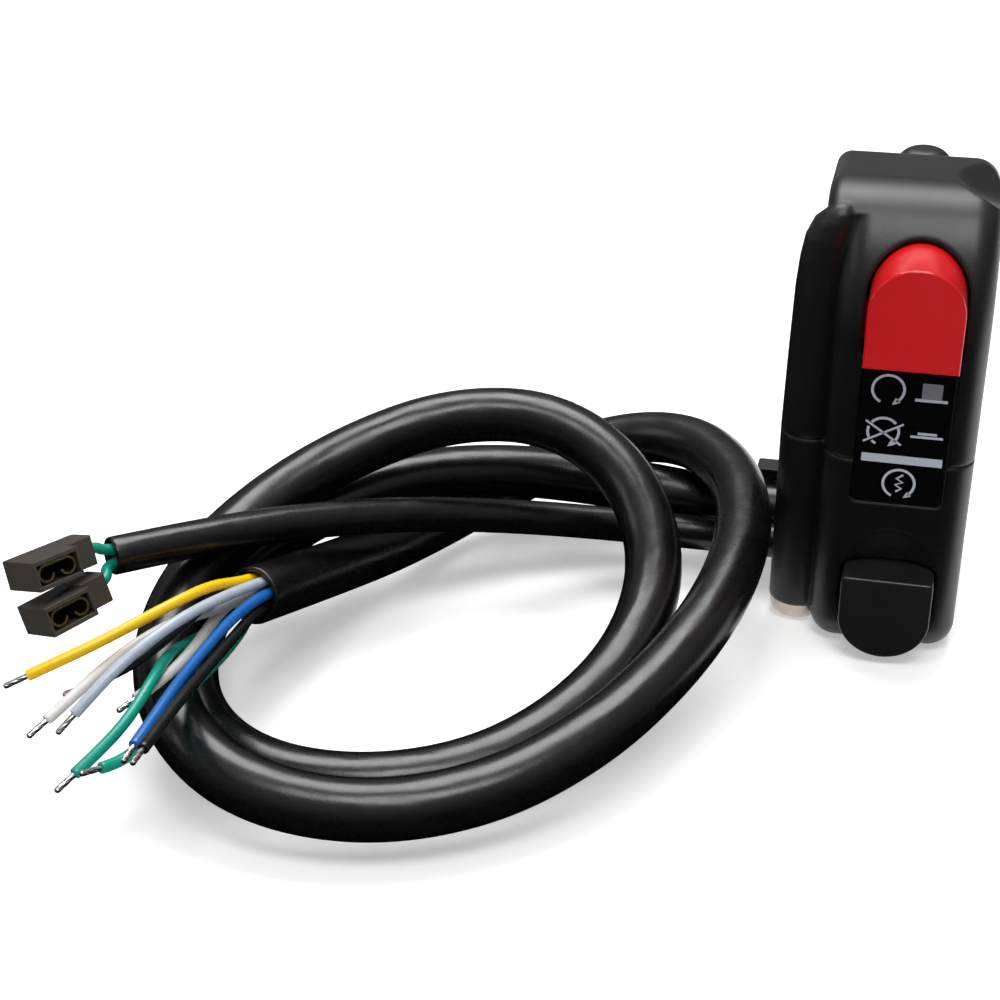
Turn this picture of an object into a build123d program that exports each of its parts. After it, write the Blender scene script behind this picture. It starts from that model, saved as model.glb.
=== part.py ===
from build123d import *
import math
import os

os.makedirs("parts", exist_ok=True)

# Handlebar switch cluster, in millimetres.
# Origin: centre of the bar bore. X: along the bar, rightwards. Y: away from the rider. Z: up.
# The two shells part at z = 0.

# ---------------------------------------------------------------------------
# Driving sizes
# ---------------------------------------------------------------------------

# Bar and bore
bar_radius = 11.1
bar_clearance = 0.05
bar_wall = 2.55

# Body
body_left_x = -13.3
body_right_x = 13.3
nose_left_x = -10.5
clamp_front_y = -17.0
clamp_overlap = 5.5
clamp_edge_round = 2.4
face_y = -25.0
rear_y = 13.5
bottom_z = -35.8
face_height = 20.0
brow_radius = 24.6
brow_turn = 48.0
crown_radius = 11.7
crown_turn = 49.4
rear_corner_radius = 5.0
foot_corner_radius = 5.0
flank_radius = 4.4
wall = 2.3
seam_depth = 0.25
seam_half_height = 0.15
cavity_left_x = -7.4
cavity_right_x = 11.0
cavity_headroom = 1.0
lower_cavity_rear_y = 9.6

# Hollow in the top right shoulder
shoulder_hollow_radius = 40.0
shoulder_hollow_start_x = 4.5
shoulder_hollow_y = -1.5
shoulder_hollow_slope = 29.0

# Columns
front_column_x = -13.2
front_column_y = -15.0
rear_column_x = 0.7
rear_column_y = 15.3
column_radius = 4.75
column_drop = 2.0
rear_column_drop = 3.15
rear_column_round = 3.4
column_foot_height = 3.5

# Sections that lean the front column into the brow: shift in x and y, radius, depth below its top
column_sections = [
    (0.15, 0.0, 4.6, 26.0), (0.34, 0.0, 4.41, 14.0), (0.54, -0.05, 4.2, 9.2), (0.85, -0.15, 3.92, 5.6),
    (1.45, -0.3, 3.3, 2.8), (2.17, -0.5, 2.43, 1.3), (2.45, -0.6, 1.5, 0.4), (2.5, -0.6, 0.7, 0.0),
]

# Screws, washers and inserts
screw_radius = 2.5
screw_head_radius = 4.6
screw_recess_radius = 4.9
screw_head_height = 2.7
screw_head_round = 1.8
screw_socket_across = 3.0
screw_socket_depth = 1.6
screw_tip_z = 9.7
screw_tip_chamfer = 0.5
screw_hole_clearance = 0.2
washer_thickness = 0.5
washer_radius = 4.7
insert_outer_radius = 3.2
insert_bore_clearance = 0.05
insert_seat_clearance = 0.04
insert_start_z = 0.5
insert_length = 10.0
insert_relief = 2.5
insert_groove_depth = 0.3
insert_groove_width = 1.2

# Stop button
kill_centre_x = 1.75
kill_radius = 7.25
kill_base_z = 18.5
kill_arch_z = 27.75
kill_face_y = -30.5
kill_back_y = -17.0
kill_travel = 4.0
kill_edge_round = 0.45
kill_pocket_gap = 0.45
kill_pocket_back_y = -12.4
kill_tab_reach = 1.4
kill_tab_low_z = 19.6
kill_tab_high_z = 25.4
kill_tab_front_y = -21.3
kill_tab_back_y = -18.5
kill_axis_z = 26.0

# Legend plate
plate_half_width = 7.2
plate_bottom_z = -7.4
plate_top_z = 17.2
plate_front_y = -25.1
plate_back_y = -24.3
plate_corner_radius = 1.0
plate_gap = 0.1
plate_edge_round = 0.2

# Start button
start_centre_x = 1.75
start_half_width = 7.35
start_top_height = 16.3
start_side_height = 8.2
start_low_height = 1.5
start_face_y = -29.5
start_back_y = -19.0
start_travel = 3.0
start_edge_round = 0.45
start_corner_radius = 0.8
start_pocket_gap = 0.4
start_pocket_back_y = -15.6
start_tab_reach = 1.35
start_tab_low_height = 6.8
start_tab_high_height = 12.8
start_tab_front_y = -22.4
start_tab_back_y = -20.0

# Thumb scoop round the start button's top edge, and the pad behind it
scoop_radius = 7.4
scoop_depth = 2.6
scoop_rim_round = 0.8
scoop_pad_thickness = 2.0
scoop_pad_margin = 0.8

# Switch bodies
switch_half_width = 6.0
switch_wall = 1.4
switch_edge_round = 0.5
stem_radius = 2.0
stem_clearance = 0.08
contact_spread = 3.4
contact_width = 1.4
contact_thickness = 0.7
contact_clearance = 0.06
contact_gap = 0.3
bridge_half_width = 4.3
bridge_half_height = 1.5
bridge_thickness = 0.8
spring_wire_radius = 0.22
spring_radius = 1.75
spring_end_gap = 0.08
pad_width = 9.0
pad_depth = 2.6

kill_body_front_y = -9.0
kill_body_back_y = 8.0
kill_body_half_height = 7.0
kill_stem_end_y = -2.0
kill_chamber_back_y = 5.0
kill_pin_end_y = 9.8
kill_spring_turns = 4
kill_pad_y = [-4.5, 4.5]
kill_pad_root_z = 12.0
chamber_side_gap = 0.3
kill_chamber_half_height = 3.2

start_body_front_y = -12.0
start_body_back_y = 4.0
start_body_low_share = 0.101
start_body_high_share = 0.7576
start_chamber_share = 0.4923
start_stem_end_y = -6.0
start_chamber_back_y = 1.8
start_pin_end_y = 7.0
start_spring_turns = 4
start_pad_y = [-8.0, 0.5]

# Latch pin of the stop switch
latch_radius = 0.4
latch_hook_y = -10.4
latch_root_y = -6.6
latch_rise = 1.0
latch_hook_rise = 1.0
latch_root_depth = 1.2
latch_bend_radius = 0.9
latch_groove_width = 1.1
latch_groove_rise = 0.7
latch_groove_margin = 0.6
latch_hole_clearance = 0.05

# Cable grommet
grommet_y = -0.2
grommet_height = 8.2
grommet_flange_width = 19.6
grommet_flange_height = 12.0
grommet_flange_thickness = 1.8
grommet_flange_round = 0.6
grommet_slot_width = 18.0
grommet_slot_height = 11.0
grommet_slot_clearance = 0.1
grommet_inner_x = -6.9
grommet_bore_clearance = 0.05
pad_inner_x = -9.0

# Cable guide on the rear of the left flank
guide_left_x = -23.0
guide_front_y = 4.9
guide_back_y = 9.0
guide_low_height = 14.3
guide_high_height = 15.9
guide_round = 0.5
clip_left_x = -22.2
clip_right_x = -15.4
clip_front_y = 7.0
clip_thickness = 0.6
clip_skirt_low_height = 11.2

# Cables
main_radius = 4.65
main_bore_radius = 3.8
main_bore_depth = 5.0
lead_radius = 3.0
lead_bore_radius = 2.2
lead_bore_depth = 4.0
wire_radius = 0.85
tip_radius = 0.45
tip_length = 4.2
bend_share = 0.45

# Routes: x, y, then the height above the table that the housing stands on
main_route = [
    (-6.4, 3.5, 8.5), (-24.0, 3.5, 8.5), (-49.1, -0.2, 13.3), (-69.8, -6.8, 17.3),
    (-86.7, -16.7, 17.8), (-99.8, -29.7, 15.2), (-107.2, -44.9, 11.4),
    (-107.6, -60.5, 8.1), (-101.1, -74.4, 5.8), (-88.0, -83.3, 4.8),
    (-70.8, -83.9, 4.8), (-54.8, -76.4, 5.2), (-43.3, -63.6, 7.3),
    (-35.9, -48.3, 11.4), (-34.9, -32.6, 18.4), (-42.4, -19.8, 26.8),
    (-56.9, -13.5, 32.4), (-74.2, -15.6, 32.1), (-89.7, -24.4, 28.0),
    (-101.3, -37.6, 23.5), (-107.4, -53.6, 19.8), (-107.0, -70.3, 16.7),
    (-100.3, -84.7, 13.3), (-87.0, -93.4, 9.7), (-69.2, -93.6, 7.8),
    (-52.1, -86.5, 8.3), (-38.6, -73.6, 10.9), (-29.1, -57.2, 14.2),
    (-23.2, -39.0, 17.2), (-21.9, -20.6, 19.6), (-26.5, -4.2, 20.8),
    (-36.8, 7.1, 20.0), (-51.2, 10.2, 16.1), (-65.5, 4.5, 10.3),
    (-76.1, -7.2, 7.0), (-83.7, -23.0, 8.6), (-90.4, -41.5, 13.7),
    (-95.2, -60.6, 20.5),
]
lead_route = [
    (-6.4, -5.2, 7.2), (-24.0, -5.2, 7.2), (-46.1, -10.3, 10.3), (-63.7, -18.4, 14.6),
    (-77.8, -28.9, 19.3), (-90.4, -41.1, 23.8), (-102.7, -54.3, 27.3),
    (-114.9, -67.5, 29.5),
]

# Wires of the main cable: place on the ring in the cut end, then the bends outside it
wire_ring_radius = 2.6
wire_straight = 1.6
yellow_angle = 112.0
grey_angle = 67.0
black_a_angle = 157.0
striped_b_angle = 202.0
green_a_angle = 247.0
green_b_angle = 292.0
black_b_angle = 337.0
blue_angle = 22.0
yellow_route = [
    (-98.4, -68.6, 27.1), (-101.8, -75.8, 27.8), (-106.1, -81.7, 27.1),
    (-110.9, -86.6, 25.8), (-114.9, -89.9, 24.7), (-117.9, -92.0, 23.7),
]
grey_route = [
    (-96.6, -69.4, 25.6), (-99.4, -76.8, 26.7), (-102.2, -82.9, 26.3),
    (-105.2, -88.2, 24.7), (-107.5, -92.2, 22.7), (-109.5, -95.4, 20.6),
]
black_a_route = [
    (-98.6, -68.7, 24.8), (-100.0, -76.0, 24.7), (-103.2, -81.5, 23.1),
    (-107.0, -85.0, 21.1), (-111.3, -87.5, 19.8),
]
striped_a_route = [
    (-97.8, -68.0, 22.5), (-101.9, -73.3, 23.4), (-105.2, -79.4, 23.6),
    (-108.3, -85.7, 22.8), (-111.1, -91.2, 21.0), (-113.7, -95.9, 19.3),
]
striped_b_route = [
    (-98.6, -68.3, 20.7), (-98.7, -75.9, 20.7), (-100.4, -82.5, 19.8),
    (-103.1, -88.6, 19.5),
]
green_a_route = [
    (-98.1, -66.9, 18.2), (-100.6, -72.6, 19.4), (-101.5, -80.4, 21.7),
    (-100.9, -88.3, 21.8), (-101.6, -95.0, 20.4), (-103.4, -100.3, 19.1),
    (-105.5, -104.9, 17.9),
]
blue_route = [
    (-94.7, -71.5, 23.0), (-95.5, -80.6, 23.3), (-95.9, -88.8, 23.7),
    (-96.0, -96.5, 23.8), (-96.3, -104.1, 23.7),
]
black_b_route = [
    (-93.6, -72.6, 21.2), (-93.7, -82.0, 22.6), (-93.9, -90.7, 23.7),
    (-94.1, -98.7, 24.3), (-94.1, -106.0, 24.9),
]
green_b_route = [
    (-94.4, -68.7, 18.8), (-94.6, -76.2, 19.5), (-95.8, -84.4, 20.1),
    (-96.9, -91.9, 19.9), (-98.2, -98.3, 19.1), (-99.7, -102.6, 19.1),
    (-101.1, -105.4, 20.1),
]

# Flag receptacles: corner of the mouth (x, y, height), direction of its width and of its depth
upper_flag_corner = (-118.9, -83.6, 37.5)
upper_flag_across = (0.470, 0.879, -0.081)
upper_flag_inward = (-0.846, 0.422, -0.327)
lower_flag_corner = (-116.8, -86.2, 31.5)
lower_flag_across = (0.498, 0.867, 0.030)
lower_flag_inward = (-0.806, 0.475, -0.354)
flag_width = 7.8
flag_height = 4.5
flag_depth = 8.3
flag_shoulder_width = 4.7
flag_shoulder_setback = 2.9
flag_round = 0.6
flag_mouth_width = 7.0
flag_mouth_height = 3.2
flag_mouth_depth = 7.0
flag_wire_depth = 5.6
flag_wire_clearance = 0.1
flag_wire_entry = 1.5
flag_wire_reach = 8.0
terminal_setback = 0.5
terminal_length = 4.0
terminal_width = 6.6
terminal_sheet = 0.35
terminal_curl_radius = 1.4
terminal_curl_opening = 1.3
terminal_tongue_width = 3.0
terminal_tongue_length = 2.0
lead_wire_offset = 1.05
lead_wire_straight = 1.0


# ---------------------------------------------------------------------------
# Shapes used more than once
# ---------------------------------------------------------------------------

def bend_radii(points):
    radii = []
    for before, here, after in zip(points, points[1:], points[2:]):
        incoming = Vector(here) - Vector(before)
        outgoing = Vector(after) - Vector(here)
        half_turn = math.radians(incoming.get_angle(outgoing) / 2)
        shorter = min(incoming.length, outgoing.length)
        radii.append(bend_share * shorter / math.tan(half_turn))
    return radii


def tube(points, radius):
    with BuildPart() as made:
        with BuildLine() as route:
            FilletPolyline(*points, radius=bend_radii(points))
        with BuildSketch(Plane(origin=route.line @ 0, z_dir=route.line % 0)):
            Circle(radius)
        sweep(path=route.wires()[0])
    return made


def report_tube(name, points, radius, volume, bored=0):
    run = FilletPolyline(*points, radius=bend_radii(points), mode=Mode.PRIVATE).length
    ideal = math.pi * radius**2 * run - bored
    tightest = min(bend_radii(points))
    print(f"{name}: length {run:.1f}, tightest bend {tightest:.1f}, volume share {volume / ideal:.4f}")


def raised(route):
    return [(x, y, bottom_z + height) for x, y, height in route]


def end_frame(points):
    along = (Vector(points[-1]) - Vector(points[-2])).normalized()
    upright = (Vector(0, 0, 1) - along * along.Z).normalized()
    return along, upright.cross(along), upright


def wire_points(angle, ring, bends):
    along, right, upright = end_frame(main_points)
    turn = math.radians(angle)
    seat = Vector(main_points[-1]) + right * ring * math.cos(turn) + upright * ring * math.sin(turn)
    root = seat - along * main_bore_depth
    leave = seat + along * wire_straight
    return [tuple(root), tuple(leave)] + raised(bends)


def flag_plane(corner, across, inward):
    # Origin at the mouth's upper left corner: x across it, y upwards, z out of it
    depth_way = Vector(inward).normalized()
    width_way = Vector(across) - depth_way * Vector(across).dot(depth_way)
    mouth_corner = Vector(corner) + Vector(0, 0, bottom_z)
    return Plane(origin=mouth_corner, x_dir=width_way, z_dir=-depth_way)


def flag_housing(mouth):
    with BuildPart() as housing:
        with BuildSketch(mouth):
            Rectangle(flag_width, flag_height, align=(Align.MIN, Align.MAX))
        extrude(amount=-flag_depth)
        with BuildSketch(mouth.offset(-flag_shoulder_setback)):
            Rectangle(flag_body_width, flag_height, align=(Align.MIN, Align.MAX))
        extrude(amount=flag_shoulder_setback - flag_depth)
        upright_edges = housing.edges().filter_by(Axis((0, 0, 0), mouth.y_dir))
        fillet(upright_edges.sort_by(Axis(mouth.origin, mouth.x_dir))[-2:], flag_round)
        with BuildSketch(mouth):
            with Locations((flag_width / 2, -flag_height / 2)):
                Rectangle(flag_mouth_width, flag_mouth_height)
        extrude(amount=-flag_mouth_depth, mode=Mode.SUBTRACT)
        with BuildSketch(flag_side(mouth)):
            Circle(wire_radius + flag_wire_clearance)
        extrude(amount=-flag_body_width / 2, mode=Mode.SUBTRACT)
    return housing


def flag_side(mouth):
    # Where the wire enters: on the shoulder's outer face, looking outwards
    entry = mouth.from_local_coords(Vector(flag_body_width, -flag_height / 2, -flag_wire_depth))
    return Plane(origin=entry, z_dir=mouth.x_dir)


def flag_terminal(mouth):
    curl_x = terminal_width / 2 - terminal_curl_radius
    with BuildPart() as terminal:
        with BuildSketch(mouth.offset(-terminal_setback)):
            with Locations((flag_width / 2, -flag_height / 2)):
                with Locations((-curl_x, 0), (curl_x, 0)):
                    Circle(terminal_curl_radius)
                    Circle(terminal_curl_radius - terminal_sheet, mode=Mode.SUBTRACT)
                with Locations((0, terminal_curl_radius - terminal_sheet)):
                    Rectangle(2 * curl_x, terminal_curl_opening,
                              align=(Align.CENTER, Align.MAX), mode=Mode.SUBTRACT)
                with Locations((0, terminal_curl_radius)):
                    Rectangle(2 * curl_x, terminal_sheet, align=(Align.CENTER, Align.MAX))
        extrude(amount=-terminal_length)
        with BuildSketch(mouth.offset(-terminal_setback - terminal_length)):
            with Locations((flag_width / 2, terminal_curl_radius - flag_height / 2)):
                Rectangle(terminal_tongue_width, terminal_sheet, align=(Align.CENTER, Align.MAX))
        extrude(amount=-terminal_tongue_length)
    return terminal


def lead_wire_points(mouth, offset_up):
    along, right, upright = end_frame(lead_points)
    seat = Vector(lead_points[-1]) + upright * offset_up
    side = flag_side(mouth)
    outside = side.origin + side.z_dir * flag_wire_entry
    inside = side.origin - side.z_dir * flag_wire_reach
    root = seat - along * lead_bore_depth
    leave = seat + along * lead_wire_straight
    return [tuple(root), tuple(leave), tuple(outside), tuple(inside)]


def upper_outline(inset):
    # Seen from the right: straight face, brow, crown, then a roof that falls to the rear
    with BuildSketch() as outline:
        with BuildLine():
            front = Line((face_y + inset, 0), (face_y + inset, face_height))
            brow = JernArc(front @ 1, front % 1, brow_radius - inset, -brow_turn)
            crown = JernArc(brow @ 1, brow % 1, crown_radius - inset, -crown_turn)
            roof_end_z = (crown @ 1).Y - (rear_y - inset - (crown @ 1).X) * crown_fall
            Polyline(crown @ 1, (rear_y - inset, roof_end_z), (rear_y - inset, 0), front @ 0)
        make_face()
        rear_corner = outline.vertices().group_by(Axis.X)[-1].sort_by(Axis.Y)[-1]
        fillet(rear_corner, rear_corner_radius - inset)
    return outline.sketch


def lower_outline(inset):
    front, rear, foot = face_y + inset, rear_y - inset, bottom_z + inset
    with BuildSketch() as outline:
        with BuildLine():
            Polyline((front, 0), (rear, 0), (rear, foot), (front, foot), close=True)
        make_face()
        fillet(outline.vertices().group_by(Axis.Y)[0], foot_corner_radius - inset)
    return outline.sketch


def outer_edges(block):
    # Flank edges to be rounded: all but those that lie in the parting plane
    return block.faces().filter_by(Axis.X).edges().filter_by(lambda edge: abs(edge.center().Z) > 0)


# ---------------------------------------------------------------------------
# Values worked out from the driving sizes
# ---------------------------------------------------------------------------

bore_radius = bar_radius + bar_clearance
bar_wall_radius = bore_radius + bar_wall
body_length = body_right_x - body_left_x
nose_length = body_right_x - nose_left_x
clamp_length = nose_left_x + clamp_overlap - body_left_x
cavity_length = cavity_right_x - cavity_left_x
screw_hole_radius = screw_radius + screw_hole_clearance
insert_end_z = insert_start_z + insert_length
insert_hole_radius = insert_outer_radius + insert_seat_clearance
column_foot_z = bottom_z + column_foot_height
screw_head_z = column_foot_z - washer_thickness
crown_fall = math.tan(math.radians(brow_turn + crown_turn - 90))
brow_rise = math.sin(math.radians(brow_turn))
crown_top_z = face_height + brow_radius * brow_rise + crown_radius * (1 - brow_rise)
column_top_z = crown_top_z - column_drop
rear_column_top_z = crown_top_z - rear_column_drop
columns = [(front_column_x, front_column_y), (rear_column_x, rear_column_y)]
main_points = raised(main_route)
lead_points = raised(lead_route)
grommet_z = bottom_z + grommet_height
kill_body_low_z = kill_axis_z - kill_body_half_height
kill_body_high_z = kill_axis_z + kill_body_half_height
latch_top_z = kill_body_high_z + latch_rise
latch_root_z = kill_body_high_z - latch_root_depth
latch_hook_z = kill_axis_z + latch_hook_rise
latch_groove_floor_z = kill_axis_z + latch_groove_rise
cavity_top_z = latch_top_z + latch_radius + cavity_headroom
guide_low_z = bottom_z + guide_low_height
guide_high_z = bottom_z + guide_high_height
clip_skirt_low_z = bottom_z + clip_skirt_low_height
start_floor_z = bottom_z + wall
start_space_height = -bar_wall_radius - start_floor_z
start_body_low_z = start_floor_z + start_body_low_share * start_space_height
start_body_high_z = start_floor_z + start_body_high_share * start_space_height
start_axis_z = (start_body_low_z + start_body_high_z) / 2
start_chamber_half_height = start_chamber_share * (start_body_high_z - start_axis_z)
start_top_z = bottom_z + start_top_height
start_side_z = bottom_z + start_side_height
start_low_z = bottom_z + start_low_height
start_tab_low_z = bottom_z + start_tab_low_height
start_tab_high_z = bottom_z + start_tab_high_height
kill_contacts_x = [kill_centre_x - contact_spread, kill_centre_x + contact_spread]
start_contacts_x = [start_centre_x - contact_spread, start_centre_x + contact_spread]
kill_contact_y = kill_stem_end_y + bridge_thickness + kill_travel + contact_gap
start_contact_y = start_stem_end_y + bridge_thickness + start_travel + contact_gap
flag_body_width = flag_width + flag_shoulder_width


# ---------------------------------------------------------------------------
# Outlines seen from the front
# ---------------------------------------------------------------------------

kill_side_height = kill_arch_z - kill_base_z
with BuildSketch(Plane.XZ) as kill_outline:
    with Locations((kill_centre_x, kill_arch_z)):
        Circle(kill_radius)
        Rectangle(2 * kill_radius, kill_side_height, align=(Align.CENTER, Align.MAX))

start_left_x = start_centre_x - start_half_width
start_right_x = start_centre_x + start_half_width
with BuildSketch(Plane.XZ) as start_outline:
    with BuildLine():
        top = Line((start_right_x, start_top_z), (start_left_x, start_top_z))
        left = Line(top @ 1, (start_left_x, start_side_z))
        low = ThreePointArc(left @ 1, (start_centre_x, start_low_z), (start_right_x, start_side_z))
        Line(low @ 1, top @ 0)
    make_face()
    fillet(start_outline.vertices().group_by(Axis.Y)[-1], start_corner_radius)

plate_height = plate_top_z - plate_bottom_z
plate_middle_z = (plate_top_z + plate_bottom_z) / 2
with BuildSketch(Plane.XZ) as plate_outline:
    with Locations((kill_centre_x, plate_middle_z)):
        RectangleRounded(2 * plate_half_width, plate_height, plate_corner_radius)


# ---------------------------------------------------------------------------
# Cuts shared by both shells
# ---------------------------------------------------------------------------

with BuildPart() as bar_space:
    with BuildSketch(Plane.YZ.offset(body_left_x)):
        Circle(bore_radius)
    extrude(amount=body_length)

with BuildPart() as bar_sleeve:
    with BuildSketch(Plane.YZ.offset(body_left_x)):
        Circle(bar_wall_radius)
    extrude(amount=body_length)

with BuildPart() as plate_recess:
    with BuildSketch(Plane.XZ.offset(-plate_back_y)):
        add(plate_outline.sketch_local)
        offset(amount=plate_gap)
    extrude(amount=wall)

with BuildSketch() as seam_outline:
    with Locations((body_right_x, face_y)):
        Rectangle(nose_length, rear_y - face_y, align=(Align.MAX, Align.MIN))
    fillet(seam_outline.vertices(), flank_radius)
    with BuildSketch(mode=Mode.PRIVATE) as clamp_outline:
        with Locations((body_left_x, clamp_front_y)):
            Rectangle(clamp_length, rear_y - clamp_front_y, align=(Align.MIN, Align.MIN))
        fillet(clamp_outline.vertices().sort_by(Axis.X)[:2], clamp_edge_round)
    add(clamp_outline.sketch)
    with Locations(*columns):
        Circle(column_radius)

with BuildPart() as seam_groove:
    with BuildSketch(Plane.XY.offset(-seam_half_height)):
        add(seam_outline.sketch)
        offset(amount=wall)
        with BuildSketch(mode=Mode.PRIVATE) as seam_land:
            add(seam_outline.sketch)
            offset(amount=-seam_depth)
        add(seam_land.sketch, mode=Mode.SUBTRACT)
    extrude(amount=2 * seam_half_height)


# ---------------------------------------------------------------------------
# Upper shell
# ---------------------------------------------------------------------------

with BuildPart() as upper_nose:
    with BuildSketch(Plane.YZ.offset(nose_left_x)):
        add(upper_outline(0))
    extrude(amount=nose_length)
    fillet(outer_edges(upper_nose), flank_radius)

with BuildPart() as upper_clamp:
    with BuildSketch(Plane.YZ.offset(body_left_x)):
        add(upper_outline(0))
    extrude(amount=clamp_length)
    clamp_edges = upper_clamp.faces().sort_by(Axis.X)[0].edges()
    fillet(clamp_edges.filter_by(lambda edge: abs(edge.center().Z) > 0), clamp_edge_round)
    split(bisect_by=Plane.XZ.offset(-clamp_front_y), keep=Keep.BOTTOM)

with BuildPart() as upper_cavity:
    with BuildSketch(Plane.YZ.offset(cavity_left_x)):
        add(upper_outline(wall))
    extrude(amount=cavity_length)
    split(bisect_by=Plane.XY.offset(cavity_top_z), keep=Keep.BOTTOM)
    add(bar_sleeve.part, mode=Mode.SUBTRACT)

with BuildPart() as front_column:
    with BuildSketch():
        with Locations((front_column_x, front_column_y)):
            Circle(column_radius)
    for shift_x, shift_y, radius, depth in column_sections:
        with BuildSketch(Plane.XY.offset(column_top_z - depth)):
            with Locations((front_column_x + shift_x, front_column_y + shift_y)):
                Circle(radius)
    loft(ruled=True)

with BuildPart() as rear_column:
    with BuildSketch():
        with Locations((rear_column_x, rear_column_y)):
            Circle(column_radius)
    extrude(amount=rear_column_top_z)
    fillet(rear_column.faces().sort_by(Axis.Z)[-1].edges(), rear_column_round)

with BuildPart() as shoulder_hollow:
    slope = math.radians(shoulder_hollow_slope)
    hollow_reach = 2 * (body_right_x - shoulder_hollow_start_x)
    roof_z = crown_top_z - (shoulder_hollow_y - face_y - brow_radius) * crown_fall
    hollow_start = (shoulder_hollow_start_x, shoulder_hollow_y, roof_z)
    with BuildSketch(Plane(hollow_start, (0, 1, 0), (math.cos(slope), 0, -math.sin(slope)))):
        with Locations((0, shoulder_hollow_radius)):
            Circle(shoulder_hollow_radius)
    extrude(amount=hollow_reach, both=True)

with BuildPart() as upper_shell:
    add(upper_nose.part)
    add(upper_clamp.part)
    add(front_column.part)
    add(rear_column.part)
    add(upper_cavity.part, mode=Mode.SUBTRACT)
    with BuildSketch(Plane.XY.offset(kill_pad_root_z)):
        with Locations(*[(kill_centre_x, y) for y in kill_pad_y]):
            Rectangle(pad_width, pad_depth)
    extrude(amount=kill_body_low_z - kill_pad_root_z)
    with BuildSketch(Plane.XZ.offset(-kill_face_y)):
        add(kill_outline.sketch_local)
        offset(amount=kill_pocket_gap)
    extrude(amount=kill_face_y - kill_pocket_back_y, mode=Mode.SUBTRACT)
    add(plate_recess.part, mode=Mode.SUBTRACT)
    add(shoulder_hollow.part, mode=Mode.SUBTRACT)
    add(seam_groove.part, mode=Mode.SUBTRACT)
    add(bar_space.part, mode=Mode.SUBTRACT)
    with BuildSketch(Plane.XY):
        with Locations(*columns):
            Circle(insert_hole_radius)
    extrude(amount=insert_end_z, mode=Mode.SUBTRACT)
    with BuildSketch(Plane.XY):
        with Locations(*columns):
            Circle(screw_hole_radius)
    extrude(amount=insert_end_z + insert_relief, mode=Mode.SUBTRACT)

upper_shell.part.label = "upper_shell"
export_step(upper_shell.part, "parts/upper_shell.step")


# ---------------------------------------------------------------------------
# Lower shell
# ---------------------------------------------------------------------------

scoop_ball_radius = (scoop_radius**2 + scoop_depth**2) / (2 * scoop_depth)
with BuildPart() as lower_nose:
    with BuildSketch(Plane.YZ.offset(nose_left_x)):
        add(lower_outline(0))
    extrude(amount=nose_length)
    fillet(outer_edges(lower_nose), flank_radius)
    with Locations((start_centre_x, face_y + scoop_depth - scoop_ball_radius, start_top_z)):
        Sphere(scoop_ball_radius, mode=Mode.SUBTRACT)
    scoop_edges = lower_nose.faces().filter_by(GeomType.SPHERE).edges().filter_by(GeomType.CIRCLE)
    fillet(scoop_edges.sort_by(Axis.Y)[0], scoop_rim_round)

with BuildPart() as lower_clamp:
    with BuildSketch(Plane.YZ.offset(body_left_x)):
        add(lower_outline(0))
    extrude(amount=clamp_length)
    split(bisect_by=Plane.XZ.offset(-clamp_front_y), keep=Keep.BOTTOM)
    clamp_edges = lower_clamp.faces().sort_by(Axis.X)[0].edges()
    fillet(clamp_edges.filter_by(lambda edge: abs(edge.center().Z) > 0), clamp_edge_round)

with BuildPart() as lower_cavity:
    with BuildSketch(Plane.YZ.offset(cavity_left_x)):
        add(lower_outline(wall))
    extrude(amount=cavity_length)
    split(bisect_by=Plane.XZ.offset(-lower_cavity_rear_y), keep=Keep.TOP)
    add(bar_sleeve.part, mode=Mode.SUBTRACT)

with BuildPart() as lower_shell:
    add(lower_nose.part)
    add(lower_clamp.part)
    with BuildSketch(Plane.XY.offset(column_foot_z)):
        with Locations(*columns):
            Circle(column_radius)
    extrude(amount=-column_foot_z)
    with BuildSketch(Plane.YZ.offset(body_left_x)):
        with Locations((grommet_y, grommet_z)):
            SlotOverall(grommet_flange_width, grommet_flange_height)
    extrude(amount=pad_inner_x - body_left_x)
    add(lower_cavity.part, mode=Mode.SUBTRACT)
    with BuildSketch(Plane.XZ.offset(-face_y - wall)):
        with Locations((start_centre_x, start_top_z)):
            Rectangle(2 * (scoop_radius + scoop_pad_margin), scoop_radius + scoop_pad_margin,
                      align=(Align.CENTER, Align.MIN))
    extrude(amount=-scoop_pad_thickness)
    with BuildSketch(Plane.XY.offset(start_floor_z)):
        with Locations(*[(start_centre_x, y) for y in start_pad_y]):
            Rectangle(pad_width, pad_depth)
    extrude(amount=start_body_low_z - start_floor_z)
    with BuildSketch(Plane.XZ.offset(-start_face_y)):
        add(start_outline.sketch_local)
        offset(amount=start_pocket_gap)
    extrude(amount=start_face_y - start_pocket_back_y, mode=Mode.SUBTRACT)
    add(plate_recess.part, mode=Mode.SUBTRACT)
    add(seam_groove.part, mode=Mode.SUBTRACT)
    add(bar_space.part, mode=Mode.SUBTRACT)
    with BuildSketch(Plane.XY.offset(column_foot_z)):
        with Locations(*columns):
            Circle(screw_hole_radius)
    extrude(amount=-column_foot_z, mode=Mode.SUBTRACT)
    with BuildSketch(Plane.XY.offset(column_foot_z)):
        with Locations(*columns):
            Circle(screw_recess_radius)
    extrude(amount=bottom_z - column_foot_z, mode=Mode.SUBTRACT)
    with BuildSketch(Plane.YZ.offset(body_left_x)):
        with Locations((grommet_y, grommet_z)):
            SlotOverall(grommet_slot_width + 2 * grommet_slot_clearance,
                        grommet_slot_height + 2 * grommet_slot_clearance)
    extrude(amount=cavity_left_x - body_left_x, mode=Mode.SUBTRACT)

lower_shell.part.label = "lower_shell"
export_step(lower_shell.part, "parts/lower_shell.step")


# ---------------------------------------------------------------------------
# Legend plate
# ---------------------------------------------------------------------------

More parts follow.
